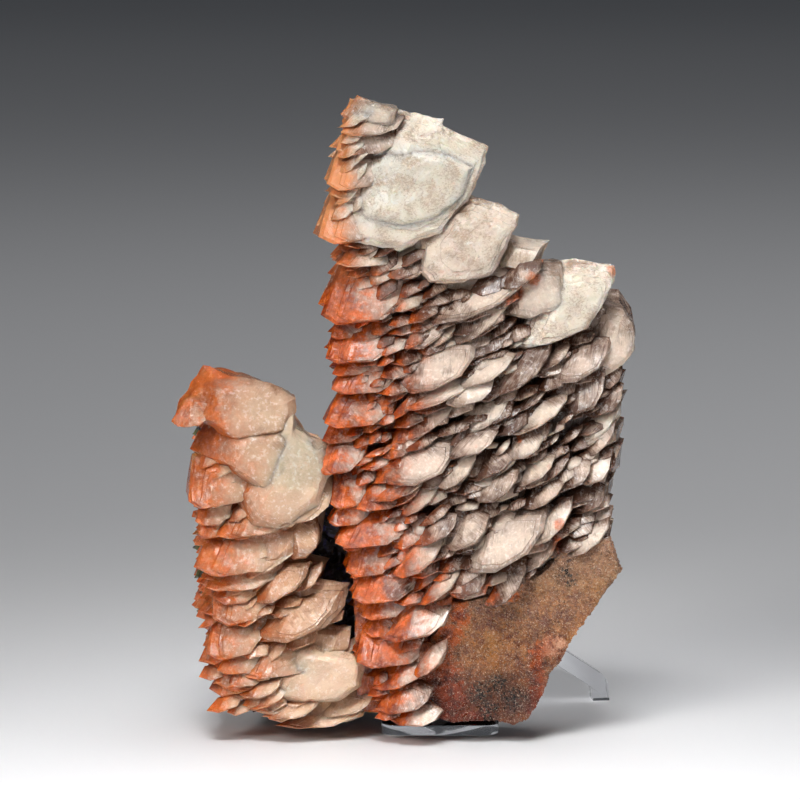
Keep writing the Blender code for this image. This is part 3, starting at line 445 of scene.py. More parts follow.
def inside(x, z, outline):
    """Whether a point lies inside an outline."""
    hit = False
    for (x0, z0), (x1, z1) in zip(outline, outline[1:] + outline[:1]):
        if (z0 > z) != (z1 > z) and x < (x1 - x0) * (z - z0) / (z1 - z0) + x0:
            hit = not hit
    return hit


def fill_rows(outline, front, rise, step, dice, widths, set_backs, milk_at, keep_off=()):
    """Rows of small crystals inside an outline, along lines that rise to the right, off the blocks."""
    made = []
    low = min(z for _, z in outline) - 60
    high = max(z for _, z in outline)
    start = low
    while start < high:
        x = min(x for x, _ in outline) - 2 + dice.uniform(0, 5)
        while x < max(x for x, _ in outline):
            width = dice.uniform(*widths)
            height = width * dice.uniform(0.44, 0.70)
            z = start + (x + 25) * rise + dice.uniform(-1.6, 1.6)
            middle = (x + width * 0.4, z + height * 0.5)
            if inside(*middle, outline) and not any(inside(*middle, block) for block in keep_off):
                at = front_at(x + width / 2, front) + dice.uniform(*set_backs)
                kind = "small" if dice.random() < 0.85 else "leaf"
                made.append(place(kind, x, z, width, height, dice.uniform(-2, 22), at, dice,
                                  milk=milk_at(x, z), sunk=-8, roof=11))
            x += width * dice.uniform(0.48, 0.72)
        start += step * dice.uniform(0.8, 1.2)
    return made


def grey_middle(x, z):
    """Most of the small crystals are clear, and one in five is milky."""
    return dice.uniform(0.45, 0.85) if dice.random() < 0.2 else dice.uniform(0, 0.2)


tall_small = join(fill_rows(TALL_OUTLINE, TALL_FRONT, 0.36, 3.4, dice, (4.4, 12.5), (0.4, 2.9), grey_middle,
                            [block[0] for block in TALL_BLOCKS[1:]]), "calcite_tall_small_crystals")

# %% [markdown]
# ## The left edge, the right edge and the back
# From the side the stack is a comb: hundreds of tips, one above the other. On the right the crystals are
# broken off, and their layers show as thin ledges. The back is free as well, so it gets crystals of its
# own, which are mirrored copies that face the other way.

# %% Grow the comb, the ledges and the back
def tall_left(z):
    """The x of the stack's left side at this height, in millimetres."""
    bulge = 7 * smooth(z, 10, 130) + 1 * smooth(z, 110, 122)
    return -14 - bulge + 4 * smooth(z, 136, 172)


def comb(left_at, heights, depths, dice, milk, step, widths, turn=(-6, 4)):
    """Small tips in columns along a side, from the front of the stack to its back."""
    made = []
    for depth in depths:
        z = heights[0] + dice.uniform(0, step)
        while z < heights[1]:
            width = dice.uniform(*widths)
            height = width * dice.uniform(0.42, 0.62)
            x = left_at(z) + dice.uniform(-0.5, 2.5) + 0.9 * abs(depth - 2) / 4
            made.append(place("small", x, z, width, height, dice.uniform(*turn),
                              depth + dice.uniform(-1.5, 1.5), dice, milk=milk))
            z += step * dice.uniform(0.75, 1.25)
    return made


pieces = comb(tall_left, (8, 174), (-8.5, -4.5, -0.5, 3.5, 7.5), dice, 0.4, 5.2, (8, 14))
tall_comb = join(pieces, "calcite_tall_comb")


def right_ledge(z):
    return 43.4 + 0.08 * (z - 70)


pieces = comb(right_ledge, (60, 108), (-9, -5, -1, 3, 7), dice, 0.55, 3.4, (9.5, 12.5),
              turn=(4, 14))
tall_ledges = join(pieces, "calcite_tall_ledges")

BACK_TOP = [(-40, 174), (10, 170), (23, 158), (29, 146), (31, 139), (36, 134), (57, 128), (66, 106)]


def back_top(x):
    for (start, high), (end, low) in zip(BACK_TOP, BACK_TOP[1:]):
        if x <= end:
            return high + (low - high) * (x - start) / (end - start)
    return 0


def back_rows(dice):
    made = []
    z = 8
    while z < 168:
        left = -21 if z > 84 else 30
        right = 56 + 5 * smooth(z, 80, 104) - max(0, 55 - z) * 0.5
        x = left + dice.uniform(-2, 2)
        while x < right - 6:
            width = dice.uniform(13, 26)
            height = width * dice.uniform(0.42, 0.58)
            height = min(height, min(back_top(x), back_top(x + width)) - z)
            if height > 4 and x + width < right + 2:
                across = min(1, abs(x + width / 2 - 18) / 50)
                at = 16.5 + 4.5 * (1 - across * across) + dice.uniform(-1.8, 1.8)
                kind = "tooth" if x < -15 else dice.choice(["shield", "slab"])
                made.append(place(kind, x, z, width, height, dice.uniform(-4, 12), at, dice,
                                  milk=dice.uniform(0.2, 0.8), back=True))
            x += width * 0.7
        z += dice.uniform(6, 8)
    return made


tall_back = join(back_rows(dice), "calcite_tall_back_crystals")

# %% [markdown]
# ## The body of the stack
# Behind the crystals is the grown-together body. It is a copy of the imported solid, with its loose
# triangles merged, cut finer and roughened, and drawn in by nearly half a millimetre so that the new
# crystals stand proud of it. The broken foot at the lower right belongs to it.

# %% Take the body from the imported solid
def body_from(solid, name, cuts, inwards, *octaves):
    """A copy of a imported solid, cut finer, drawn in by so many millimetres and roughened."""
    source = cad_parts[solid]
    body = source.copy()
    body.data = source.data.copy()
    bpy.context.scene.collection.objects.link(body)
    body.parent = None
    for key in list(body.keys()):
        del body[key]
    body.name = name
    body.data.name = name
    body.data.materials.clear()
    choose(body)
    bpy.ops.object.mode_set(mode="EDIT")
    bpy.ops.mesh.select_all(action="SELECT")
    bpy.ops.mesh.remove_doubles(threshold=0.00002)
    bpy.ops.mesh.subdivide(number_cuts=cuts)
    bpy.ops.object.mode_set(mode="OBJECT")
    normals = np.array([vert.normal for vert in body.data.vertices])
    set_coords(body, coords_of(body) - normals * inwards * MM)
    weather(body, *octaves)
    return body


def distance_to(coords, spots):
    """For each point, how deep it lies in the nearest of some round spots seen from the front: 0 to 1."""
    depth = np.zeros(len(coords))
    for x, z, radius in spots:
        away = np.hypot(coords[:, 0] / MM - x, coords[:, 2] / MM - z) / radius
        depth = np.maximum(depth, np.clip(1 - away, 0, 1))
    return depth


FOOT = [(3, 12.1), (4.7, 18), (6.9, 29), (13.2, 40.4), (28.2, 43), (40, 50.6), (44.4, 57),
        (57.7, 58.9), (62.7, 49.3), (60.1, 46.1), (51.7, 37), (47.5, 30.2), (46.4, 28), (44.4, 24.3),
        (41.2, 18.8), (38.6, 13.2), (34, 6), (30.1, 3.2), (24.8, 3.8), (17.7, 3.6), (13.8, 3.4),
        (4.1, 5.9)]
tall_body = body_from("calcite_tall_stack", "calcite_tall_body", 2, 0.45, (4, 0.5), (1.4, 0.28))
print("body", len(tall_body.data.polygons), "faces")

# %% [markdown]
# ## The sugary foot
# Where the foot broke, the calcite is granular, like brown sugar. Thousands of tiny grains lie on the
# body there. One grain is a low icosphere with a few uneven corners. Points are chosen on the foot's
# faces by their area, so the grains lie evenly, and each grain is turned at random and sunk in a little.

# %% Scatter the grains
def grain_master(name, seed):
    bpy.ops.object.select_all(action="DESELECT")
    bpy.ops.mesh.primitive_ico_sphere_add(subdivisions=1, radius=0.5 * MM)
    grain = bpy.context.object
    grain.name = name
    shake = random.Random(seed)
    coords = coords_of(grain)
    coords *= np.array([[shake.uniform(0.65, 1.25)] for _ in coords])
    set_coords(grain, coords)
    return grain


def surface_points(thing, wanted, count, seed):
    """Points and normals spread by area over the faces that the test wants."""
    picker = np.random.default_rng(seed)
    faces = [face for face in thing.data.polygons if wanted(face)]
    areas = np.array([face.area for face in faces])
    chosen = picker.choice(len(faces), size=count, p=areas / areas.sum())
    spots = []
    for index in chosen:
        face = faces[index]
        shares = picker.dirichlet(np.ones(len(face.vertices)))
        corners = [thing.data.vertices[v].co * float(share) for v, share in zip(face.vertices, shares)]
        spots.append((sum(corners, Vector()), face.normal.copy()))
    return spots


def many_copies(master, spots, sizes, name, seed, sink=0.15):
    """One mesh made of many copies of a small master, each turned and sized on its own."""
    shake = random.Random(seed)
    base = coords_of(master)
    faces = [tuple(face.vertices) for face in master.data.polygons]
    points, sides, tones = [], [], []
    for number, (spot, normal) in enumerate(spots):
        turn = np.array(Matrix.Rotation(shake.uniform(0, 6.28), 3, Vector(
            (shake.uniform(-1, 1), shake.uniform(-1, 1), shake.uniform(-1, 1))).normalized()))
        size = shake.uniform(*sizes)
        centre = np.array(spot - normal * sink * size * MM)
        points.append(base @ turn.T * size + centre)
        sides.extend(tuple(v + number * len(base) for v in face) for face in faces)
        tones.extend([shake.random()] * len(base))
    mesh = bpy.data.meshes.new(name)
    mesh.from_pydata(np.concatenate(points).tolist(), [], sides)
    made = bpy.data.objects.new(name, mesh)
    bpy.context.scene.collection.objects.link(made)
    note(made, "tone", tones)
    print(name, len(sides), "faces from", len(spots), "grains")
    return made


def on_foot(face):
    x, _, z = (v / MM for v in face.center)
    return inside(x, z, FOOT) and face.normal.y < 0.3 and z > 2


GRAIN_COUNT = 8600
grain = grain_master("sugar_grain", 3)
foot_grains = many_copies(grain, surface_points(tall_body, on_foot, GRAIN_COUNT, 4), (0.45, 1.25),
                          "calcite_foot_grains", 5)
bpy.data.objects.remove(grain)

# %% [markdown]
# ## The short stack
# The lower stack is made in the same way. Its calcite is creamier, and only the tips are orange.

# %% The plan of the short stack
SHORT = [
    (-65.3, 91, 12, 7, 0, -1), (-61.7, 68, 21.6, 13.4, 4, 0), (-45.8, 62.4, 26, 14.4, 0, 0),
    (-59.5, 62.8, 10.4, 7.4, 0, 2), (-58.8, 59.4, 10, 7, 0, 2), (-53.2, 59.8, 24.4, 9.8, 3, 1),
    (-36.3, 52.7, 12, 12.4, 6, 1), (-60.5, 49, 31, 12.4, 2, -1), (-56.6, 44.6, 21, 6.6, 2, 1),
    (-54.9, 40.6, 13.2, 7, 0, 2), (-46.1, 41.4, 17.8, 9.6, 4, 1), (-32.9, 44, 9.4, 6.4, 0, 3),
    (-55.7, 34.8, 19.8, 10.8, 5, 1), (-44.7, 30.6, 25, 13.8, 0, -1), (-57.4, 24.9, 18.4, 11.4, 6, 1),
    (-53.4, 20.2, 13.6, 7.6, 0, 2), (-50.3, 19, 33.4, 12.6, 0, 1), (-50.2, 16.2, 10, 5.8, 0, 1),
    (-47.8, 13.4, 12.4, 5.8, 0, 1), (-45.4, 10.6, 13, 6.2, 0, 1), (-42.4, 7.4, 17, 4.6, 0, 0),
    (-30.5, 6.5, 21.4, 7.8, 0, 1), (-37.6, 3.6, 25, 5.4, -4, 3),
]
SHORT_FRONT = dict(middle=-42, half=30, side=-5.4, bulge=-8.8, tips=-50, move=0.6,
                   stretch=lambda x, z: 1.05)
SHORT_BLOCKS = [
    ([(-65.3, 93.7), (-64.6, 97.3), (-57.4, 106.5), (-41, 103.4), (-30.8, 98.6), (-31, 95),
      (-32.9, 88.8), (-46.9, 86.6), (-57.7, 91.3)], 1, 0.8),
    ([(-61.1, 83), (-58.8, 88.6), (-56, 92.4), (-32.7, 90.4), (-22.5, 86.4), (-20.4, 77.3),
      (-25, 72), (-41.2, 71.4), (-51.2, 79)], -0.4, 0.85),
    ([(-47, 99.6), (-41, 102.4), (-31.6, 98), (-31.8, 94), (-31, 90), (-23, 85.8),
      (-21.4, 77.3), (-24.6, 68.6), (-32.4, 62), (-44, 63), (-49, 70), (-45.6, 78),
      (-50, 84), (-46, 90)], -2.2, 0.9),
    ([(-42.4, 16.6), (-40.1, 23.4), (-32.7, 27.7), (-26.5, 28.8), (-15.7, 24.8), (-11.8, 22.8), (-11.6, 20.4),
      (-12.4, 16.3), (-19.1, 12.1), (-29.9, 11.3), (-38.4, 12.5)], -1, 1),
]


# %% Grow the short stack
def short_milk(x, z):
    """Creamy all over, browner in the middle of its height."""
    return 0.8 - 0.35 * smooth(x, -58, -36) * smooth(z, 64, 54) * smooth(z, 20, 30)


def short_left(z):
    return -60.4 + 17 * smooth(z, 32, 6)


dice = random.Random(23)
pieces = grow_list(SHORT, SHORT_FRONT, dice, short_milk)
for number, (outline, set_back, milk) in enumerate(SHORT_BLOCKS):
    pieces.append(grow_block(f"short_block_{number}", outline, block_front(outline, SHORT_FRONT) + set_back,
                             SHORT_BLOCK_DEPTH, dice, milk, WAXY_LAYERS))
short_main = join(pieces, "calcite_short_crystals")

SHORT_OUTLINE = [(-53, 10), (-57, 22), (-59, 45), (-60, 62), (-58, 90), (-34, 90), (-27, 80), (-27, 70),
                 (-33, 58), (-34, 46), (-27, 40), (-20, 34), (-14, 22), (-20, 10), (-36, 7)]
pieces = fill_rows(SHORT_OUTLINE, SHORT_FRONT, 0.15, 5, dice, (6, 12.5), (0.8, 4), short_milk,
                   [block[0] for block in SHORT_BLOCKS])
pieces += comb(short_left, (11, 96), (-5, -1, 3, 7), dice, 0.5, 4.6, (7, 12))
short_small = join(pieces, "calcite_short_small_crystals")
short_body = body_from("calcite_short_stack", "calcite_short_body", 2, 0.45, (4, 0.5), (1.4, 0.22))
print("body", len(short_body.data.polygons), "faces")

# %% [markdown]
# ## The dark rock
# The matrix is a lump of dark rock with a metallic glint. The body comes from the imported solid, cut finer
# and made lumpy. Thin metallic plates stand on it in the gap between the stacks, and tiny orange
# crystals grow on its left edge.

# %% Build the rock
rock_body = body_from("matrix_rock", "matrix_rock_body", 4, 0.1, (6, 0.9), (2, 0.55), (0.8, 0.22))


def in_gap(face):
    x, _, z = (v / MM for v in face.center)
    return face.normal.y < 0.2 and -34 < x < 2 and 6 < z < 78


def on_left_edge(face):
    x, _, z = (v / MM for v in face.center)
    return face.normal.x < -0.35 and x < -38 and z > 12


PLATE_COUNT, TINY_COUNT = 420, 130
bpy.ops.object.select_all(action="DESELECT")
bpy.ops.mesh.primitive_cylinder_add(vertices=6, radius=1 * MM, depth=0.22 * MM)
plate = bpy.context.object
rock_plates = many_copies(plate, surface_points(rock_body, in_gap, PLATE_COUNT, 8), (0.8, 2.2),
                          "matrix_rock_plates", 9)
bpy.data.objects.remove(plate)

dice = random.Random(31)
pieces = []
for spot, normal in surface_points(rock_body, on_left_edge, TINY_COUNT, 10):
    width = dice.uniform(2.4, 5.2)
    pieces.append(place("small", spot.x / MM - width * 0.5, spot.z / MM - width * 0.3, width, width * 0.62,
                        dice.uniform(-14, 14), spot.y / MM - 1.5, dice, milk=0.3))
rock_crystals = join(pieces, "matrix_rock_crystals")
for master in masters.values():
    bpy.data.objects.remove(master)

# %% [markdown]
# ## The calcite's finish
# Calcite is milky where it is full of tiny flaws and clear grey-brown where it isn't. A crystal is whitest
# in its core and smoky towards its rims, its front carries fine growth lines, and the milkiest ones are
# etched with tiny pits. Light is painted in as well: faces turned to the front are painted whiter, and each
# crystal is painted darker towards its top, as shade under the crystal above. Hematite stains the tips
# from bright orange to deep rust, with rusty spots here and there, and its faces turned to the front are
# painted peach, as a highlight. The colour is mixed in layers in that order. A sugar-white painted sparkle
# on the front faces comes after them, and last the painted shade of the gaps. A small class lets us add
# and multiply what flows from the nodes, so that the recipe reads like a sum.

# %% Helpers for node materials
def new_finish(name):
    finish = bpy.data.materials.new(name)
    finish.use_nodes = True
    return finish, finish.node_tree


def colour(text):
    """A linear colour from six hexadecimal digits, as a paint chart gives it."""
    parts = [int(text[place:place + 2], 16) / 255 for place in (0, 2, 4)]
    return tuple(v / 12.92 if v <= 0.04045 else ((v + 0.055) / 1.055) ** 2.4 for v in parts) + (1,)


def give(tree, socket, value):
    """Link a flow to a socket, or set the socket to a number, a vector or a colour's digits."""
    if isinstance(value, Flow):
        tree.links.new(value.socket, socket)
    else:
        socket.default_value = colour(value) if isinstance(value, str) else value


def node(tree, kind, output, *inputs, **settings):
    """Add a node with its settings and inputs, and return one of its outputs as a flow."""
    made = tree.nodes.new(kind)
    for key, value in settings.items():
        setattr(made, key, value)
    for socket, value in inputs:
        give(tree, made.inputs[socket], value)
    return Flow(tree, made.outputs[output])


class Flow:
    """What comes out of a node. It can be added and multiplied like a number."""

    def __init__(self, tree, socket):
        self.tree = tree
        self.socket = socket

    def maths(self, operation, other, clamp=False):
        return node(self.tree, "ShaderNodeMath", 0, (0, self), (1, other), operation=operation,
                    use_clamp=clamp)

    def __add__(self, other):
        return self.maths("ADD", other)

    def __sub__(self, other):
        return self.maths("SUBTRACT", other)

    def __mul__(self, other):
        return self.maths("MULTIPLY", other)

    def between(self, low, high, to_low=0, to_high=1):
        """Bring a value from one range to another, and stop at its ends."""
        return node(self.tree, "ShaderNodeMapRange", "Result", ("Value", self), ("From Min", low),
                    ("From Max", high), ("To Min", to_low), ("To Max", to_high))

    def axis(self, letter):
        return node(self.tree, "ShaderNodeSeparateXYZ", letter, ("Vector", self))


# %% Helpers for places, patterns and layers
def place_on(tree, output="Object"):
    return node(tree, "ShaderNodeTexCoord", output)


def read(tree, name, output="Fac"):
    return node(tree, "ShaderNodeAttribute", output, attribute_name=name)


def layer(share, under, over, way="MIX"):
    """Lay one colour over another."""
    return node(share.tree, "ShaderNodeMix", 2, (0, share), (6, under), (7, over), data_type="RGBA",
                blend_type=way, clamp_factor=True)


def cloud(where, scale, detail, rough, distortion=0):
    return node(where.tree, "ShaderNodeTexNoise", "Fac", ("Vector", where), ("Scale", scale),
                ("Detail", detail), ("Roughness", rough), ("Distortion", distortion))


def stretched(where, turn, factors):
    """Turn a place about Y, by a flow or a number in radians, and then stretch it."""
    about = node(where.tree, "ShaderNodeCombineXYZ", "Vector", ("Y", turn))
    turned = node(where.tree, "ShaderNodeMapping", "Vector", ("Vector", where), ("Rotation", about))
    return node(where.tree, "ShaderNodeMapping", "Vector", ("Vector", turned), ("Scale", factors))


def fill_in(finish, sockets, relief=None, strength=0, depth=0):
    """Give the shader its values by the names of its sockets, and a relief of so many millimetres."""
    tree = finish.node_tree
    inputs = tree.nodes["Principled BSDF"].inputs
    for name, value in sockets.items():
        give(tree, inputs[name], value)
    if relief is not None:
        give(tree, inputs["Normal"], node(tree, "ShaderNodeBump", "Normal", ("Height", relief),
                                          ("Strength", strength), ("Distance", depth * MM)))
    return finish


# %% Mix the calcite
def calcite_finish(name, clear, dull, milky, shade, rust, deep_rust, peach, etch, glow, gap_shade):
    finish, tree = new_finish(name)
    place_in = place_on(tree)
    grain = read(tree, "grain", "Vector")
    along, up, milk, tone, stained = (read(tree, label) for label in ("along", "up", "milk", "tone", "rust"))
    patch = cloud(grain, 0.17, 2, 0.5)
    stripes = cloud(stretched(grain, tone.between(0, 1, -0.9, 0.9), (2.6, 0.5, 0.22)), 1, 3, 0.62, 0.7)
    pits = cloud(stretched(grain, math.radians(14), (1.5, 1.5, 2.5)), 1, 5, 0.74, 0.5)
    crumbs = cloud(place_in, 1500, 2, 0.7)
    mottle = cloud(place_in, 240, 4, 0.65)
    frost = cloud(place_in, 720, 4, 0.72)
    drift = cloud(place_in, 45, 3, 0.55)
    front_lit = (place_on(tree, "Normal").axis("Y") * -1).between(0.45, 0.95)

    # Painted light: faces turned to the front are painted whiter, and the up term below paints each crystal
    # darker towards its top, as shade under the crystal above.
    whiteness = milk * (milk * 0.4 + 1.1) + front_lit * 0.2
    for change in (patch.between(0.36, 0.62, -0.5, 0.2), mottle.between(0.3, 0.7, -0.28, 0.22),
                   up.between(0.45, 1, 0.08, -0.55), along.between(0.05, 0.55, -0.5, 0.1),
                   stripes.between(0.34, 0.66, -0.26, 0.26)):
        whiteness = whiteness + change
    core = frost.between(0.3, 0.7, 0.85, 1.15)
    for fade in (up.between(0, 0.3, 0.45, 1), up.between(0.5, 1, 1, 0.3),
                 along.between(0.05, 0.5, 0.5, 1), along.between(0.75, 1, 1, 0.6)):
        core = core * fade
    core = core.maths("MAXIMUM", milk.between(0.7, 0.92))
    whiteness = whiteness.maths("MULTIPLY", 1, clamp=True) * core
    body = layer(whiteness, clear, layer(milk.between(0.6, 0.95), dull, milky))
    pits = pits + patch.between(0.35, 0.65, -0.07, 0.09) + mottle.between(0.3, 0.7, -0.06, 0.06)
    etched = milk.between(0.72, 0.9) * pits.between(0.51, 0.38, 0, etch)
    body = layer(etched, body, "C4A284")

    rusty = along.between(0, 0.95, 1.5, 0.05) - drift.between(0.3, 0.7, -0.25, 0.25)
    rusty = rusty + up.between(0.88, 1, 0, 1.2) + mottle.between(0.35, 0.65, -0.35, 0.3)
    rusty = rusty * (stained * tone.between(0, 1, 1.25, 0.8))
    # Painted light: faces turned to the front keep less rust, so they show paler.
    rusty = rusty * (front_lit + frost).between(0.6, 1.7, 1.2, 0.6)
    spots = read(tree, "stain") + mottle.between(0.3, 0.7, -0.45, 0.45)
    rusty = rusty.maths("MAXIMUM", spots.between(0.35, 0.75, 0, 0.75), clamp=True)
    orange = layer(mottle.between(0.4, 0.66), deep_rust, rust)
    # Painted highlight: the stained faces turned to the front are painted peach.
    orange = layer(front_lit * frost.between(0.42, 0.62, 0, 0.4), orange, peach)
    orange = layer(place_in.axis("Z").between(0.128, 0.15, 0, 0.7), orange, "F4A870")
    body = layer(rusty, body, orange)

    # Painted sparkle: white specks on the faces turned to the front, fewer where the rust is strong.
    sugar = frost.between(0.54, 0.66) * (front_lit * rusty.between(0, 1, 0.45, 0.12))
    body = layer(sugar, body, "F4ECE6")
    # Painted shade: the gaps are multiplied towards the shade colour by how deep they lie.
    body = layer(read(tree, "recess_shade").between(0.4, 1, 0, gap_shade), body, shade, "MULTIPLY")
    return fill_in(finish, {"Base Color": body, "Roughness": (mottle + sugar).between(0.35, 1.1, 0.14, 0.5),
                            "Subsurface Weight": glow, "Subsurface Radius": (1, 0.65, 0.45),
                            "Subsurface Scale": 3 * MM, "Coat Weight": 0.3, "Coat Roughness": 0.12,
                            "IOR": 1.56},
                   stripes * 0.8 + crumbs * 0.22 + frost * 0.35 - etched, 0.6, 0.8)


banded = calcite_finish("banded_calcite", "5A3A2A", "D8C0AE", "FFEEDC", "86583C", "DE6616", "842C02",
                        "E48C50", 0.6, 0.45, 0.5)
cream = calcite_finish("cream_calcite", "90664C", "CAA280", "EED0B4", "A87C5C", "D46C24", "A04A18",
                       "E6A070", 0.3, 0.6, 0.4)


# %% [markdown]
# ## The foot's finish
# The sugary foot is brown with paler and darker drifts, and its grains glint. Rust and soot gather in
# places of their own, which are kept as round spots: x, z and radius, in millimetres. Noise wears their
# edges away, so that no circle shows, and a last layer darkens the foot towards its lower end.

# %% Mix the sugary foot and its grains
def foot_finish(name):
    finish, tree = new_finish(name)
    place_in = place_on(tree)
    height = place_in.axis("Z")
    drift = cloud(place_in, 70, 4, 0.6)
    mottle = cloud(place_in, 320, 4, 0.75)
    crumbs = cloud(place_in, 1300, 3, 0.75)
    glints = cloud(place_in, 2400, 2, 0.7)
    brown = layer(mottle.between(0.38, 0.62), "6E3212", "C08248")
    for share, paint in ((drift.between(0.5, 0.62, 0, 0.7), "B87A2C"),
                         (drift.between(0.46, 0.32, 0, 0.6), "6E4232"),
                         (height.between(0.03, 0.052, 0, 0.6), "8C7062"),
                         (crumbs.between(0.53, 0.64, 0, 0.7), "4A2614"),
                         (read(tree, "tone").between(0.6, 1, 0, 0.5), "CCA684")):
        brown = layer(share, brown, paint)
    orange = layer(mottle.between(0.4, 0.62), "742404", "D0661C")
    pale = place_in.axis("X").between(0.038, 0.043) * mottle.between(0.44, 0.56, 0.2, 0.9)
    orange = layer(pale, orange, "E8B492")
    wavy = mottle.between(0.3, 0.7, -0.4, 0.4)
    brown = layer((read(tree, "stain") + wavy).between(0.25, 0.6), brown, orange)
    soot = (read(tree, "soot") + wavy).between(0.25, 0.6) * crumbs.between(0.58, 0.46)
    brown = layer(soot, brown, "140A08")
    brown = layer(height.between(0.038, 0.012, 0, 0.9), brown, "86502C", "MULTIPLY")
    brown = layer(glints.between(0.58, 0.68, 0, 0.5), brown, "F6E4CE")
    return fill_in(finish, {"Base Color": brown, "Roughness": crumbs.between(0.3, 0.7, 0.15, 0.55),
                            "Subsurface Weight": 0.15, "Subsurface Radius": (1, 0.45, 0.2),
                            "Subsurface Scale": 1.2 * MM}, crumbs, 0.8, 0.5)


STAINED = [(13, 42, 6), (15, 37, 5), (12, 31, 6), (9, 25, 7), (9, 19, 9), (10, 13, 13), (10, 7, 13),
           (19, 5, 8), (42, 28, 5.5), (38, 26, 4), (37.5, 22, 4), (37.5, 18, 4), (37.5, 14, 4),
           (36, 10, 4), (29, 44, 5)]
SOOTY = [(21, 14, 6), (26, 17, 6), (31, 12, 7), (24, 9, 5), (7, 11, 4), (45.5, 48, 5)]
sugar = foot_finish("sugary_foot")

# %% [markdown]
# ## Giving each piece its finish
# Hematite lies on one side of the specimen, so how much of it a point carries is noted by place, with a
# few rusty spots. The crystals then take the banded or the cream calcite. The bodies get the same notes
# as the crystals, and the faces of the foot take the sugary finish instead. Last, each kind of crystal is
# roughened by noise of its own sizes.

# %% Note where the hematite is
RUSTY_SPOTS = [(24, 43.5, 5), (43, 57.5, 3.6), (43.5, 63.5, 3), (9, 49.5, 4),
               (-2, 99, 3), (31, 128, 3.5), (35, 133, 4), (28.5, 139.5, 2.4),
               (33.5, 140, 2.4), (39, 138.6, 2), (58, 135, 2.6), (62.6, 127, 2.4),
               (14, 42, 4), (32, 88, 2), (-8, 70, 4), (-6, 84, 4), (2, 48, 3)]


def tall_rust(x, z):
    """Hematite colours the left of the tall stack, and only the very tips of its top."""
    low = 1.35 * (1 - smooth(x, -17, 14 + 14 * smooth(z, 62, 44)))
    high = 1.15 * (1 - smooth(x, -20, -9))
    return low + (high - low) * smooth(z, 128, 142)


def short_rust(x, z):
    """Hematite fades from the tips of the short stack to its cream right side, sooner at the top."""
    return 1.15 * (1 - smooth(x, -62, -20 - 16 * smooth(z, 78, 94)))


def note_hematite(thing, rule):
    coords = coords_of(thing)
    note(thing, "rust", rule(coords[:, 0] / MM, coords[:, 2] / MM))
    note(thing, "stain", distance_to(coords, RUSTY_SPOTS))


tall_pieces = (tall_main, tall_blocks, tall_small, tall_comb, tall_ledges, tall_back)
short_pieces = (short_main, short_small, short_body)
for thing in (*tall_pieces, tall_body):
    note_hematite(thing, tall_rust)
for thing in short_pieces:
    note_hematite(thing, short_rust)
note(rock_crystals, "rust", np.ones(len(rock_crystals.data.vertices)))
for thing in (tall_body, foot_grains):
    coords = coords_of(thing)
    note(thing, "stain", distance_to(coords, STAINED))
    note(thing, "soot", distance_to(coords, SOOTY))


# %% Put the finishes on
def dress(thing, *finishes):
    thing.data.materials.clear()
    for finish in finishes:
        thing.data.materials.append(finish)


for thing in (tall_body, short_body):
    coords = coords_of(thing)
    note_grain(thing, coords / MM)
    for name, value in (("along", 0.35), ("up", 0.5), ("tone", 0.4)):
        note(thing, name, np.full(len(coords), value))
    creamier = 0.5 if thing is short_body else 0
    note(thing, "milk", 0.25 + 0.65 * smooth(coords[:, 2] / MM, 118, 134) + creamier)
dress(tall_body, banded, sugar)
for face in tall_body.data.polygons:
    x, _, z = (v / MM for v in face.center)
    face.material_index = 1 if inside(x, z, FOOT) else 0
for thing in (*tall_pieces, rock_crystals):
    dress(thing, banded)
for thing in short_pieces:
    dress(thing, cream)
dress(foot_grains, sugar)
weather(tall_main, (5, 0.15), (1.3, 0.07))
weather(tall_blocks, (9, 0.8), (3, 0.35), (1.2, 0.18))
weather(tall_small, (3, 0.12))
weather(tall_comb, (3, 0.15))
weather(tall_ledges, (3, 0.15))
weather(tall_back, (5, 0.22), (1.3, 0.12))
weather(short_main, (8, 0.9), (3, 0.3), (1.3, 0.14))
weather(short_small, (3, 0.2))
weather(rock_crystals, (1.6, 0.15))

# %% [markdown]
# ## How deep each point lies
# Light hardly gets into the gaps, so the finish paints shade there: it darkens a point by how much
# crystal stands around it. The space is divided into cells of a millimetre. The cells that hold crystal
# are counted and blurred, and each point looks up the cells a little way out along its normal.

# %% Note the recesses for the painted shade
def normals_of(thing):
    return np.array([vert.normal for vert in thing.data.vertices], np.float32)


def blurred(cells, reach):
    """The mean of the cells within reach, along each axis in turn."""
    for axis in range(3):
        margins = [(reach + 1, reach) if side == axis else (0, 0) for side in range(3)]
        padded = np.cumsum(np.pad(cells, margins), axis)
        count = cells.shape[axis]
        far = np.take(padded, range(2 * reach + 1, 2 * reach + 1 + count), axis)
        near = np.take(padded, range(0, count), axis)
        cells = (far - near) / (2 * reach + 1)
    return cells


CORNER = np.array([-0.085, -0.040, -0.015])
CELLS = (170, 100, 220)
# How strongly the crowding around a point turns into painted shade.
DARKENING = 1.6


def cell_of(coords):
    """The cell that each place is in, as an index into the cells."""
    return tuple(np.clip(((coords - CORNER) / MM).astype(int), 0, np.array(CELLS) - 1).T)


grown = [tall_body, *tall_pieces, foot_grains, *short_pieces, rock_body, rock_plates, rock_crystals]
cells = np.zeros(CELLS, np.float32)
for thing in grown:
    cells[cell_of(coords_of(thing))] = 1
near_cells, wide_cells = blurred(cells, 2), blurred(cells, 5)
for thing in grown:
    coords, normals = coords_of(thing), normals_of(thing)
    crowded = near_cells[cell_of(coords + normals * 3 * MM)]
    crowded += wide_cells[cell_of(coords + normals * 7 * MM)]
    crowded *= DARKENING
    note(thing, "recess_shade", np.clip(crowded, 0, 1))
    print(thing.name, "recess_shade", [round(float(v), 2) for v in np.percentile(crowded, (10, 50, 90))])

# %% [markdown]
# ## The rock's finish
# The rock is nearly black, with a metal ore in it that glints grey and violet, and an olive crust on the
# left edge. Metal shows in the base colour and in a high metallic value, broken up by noise.

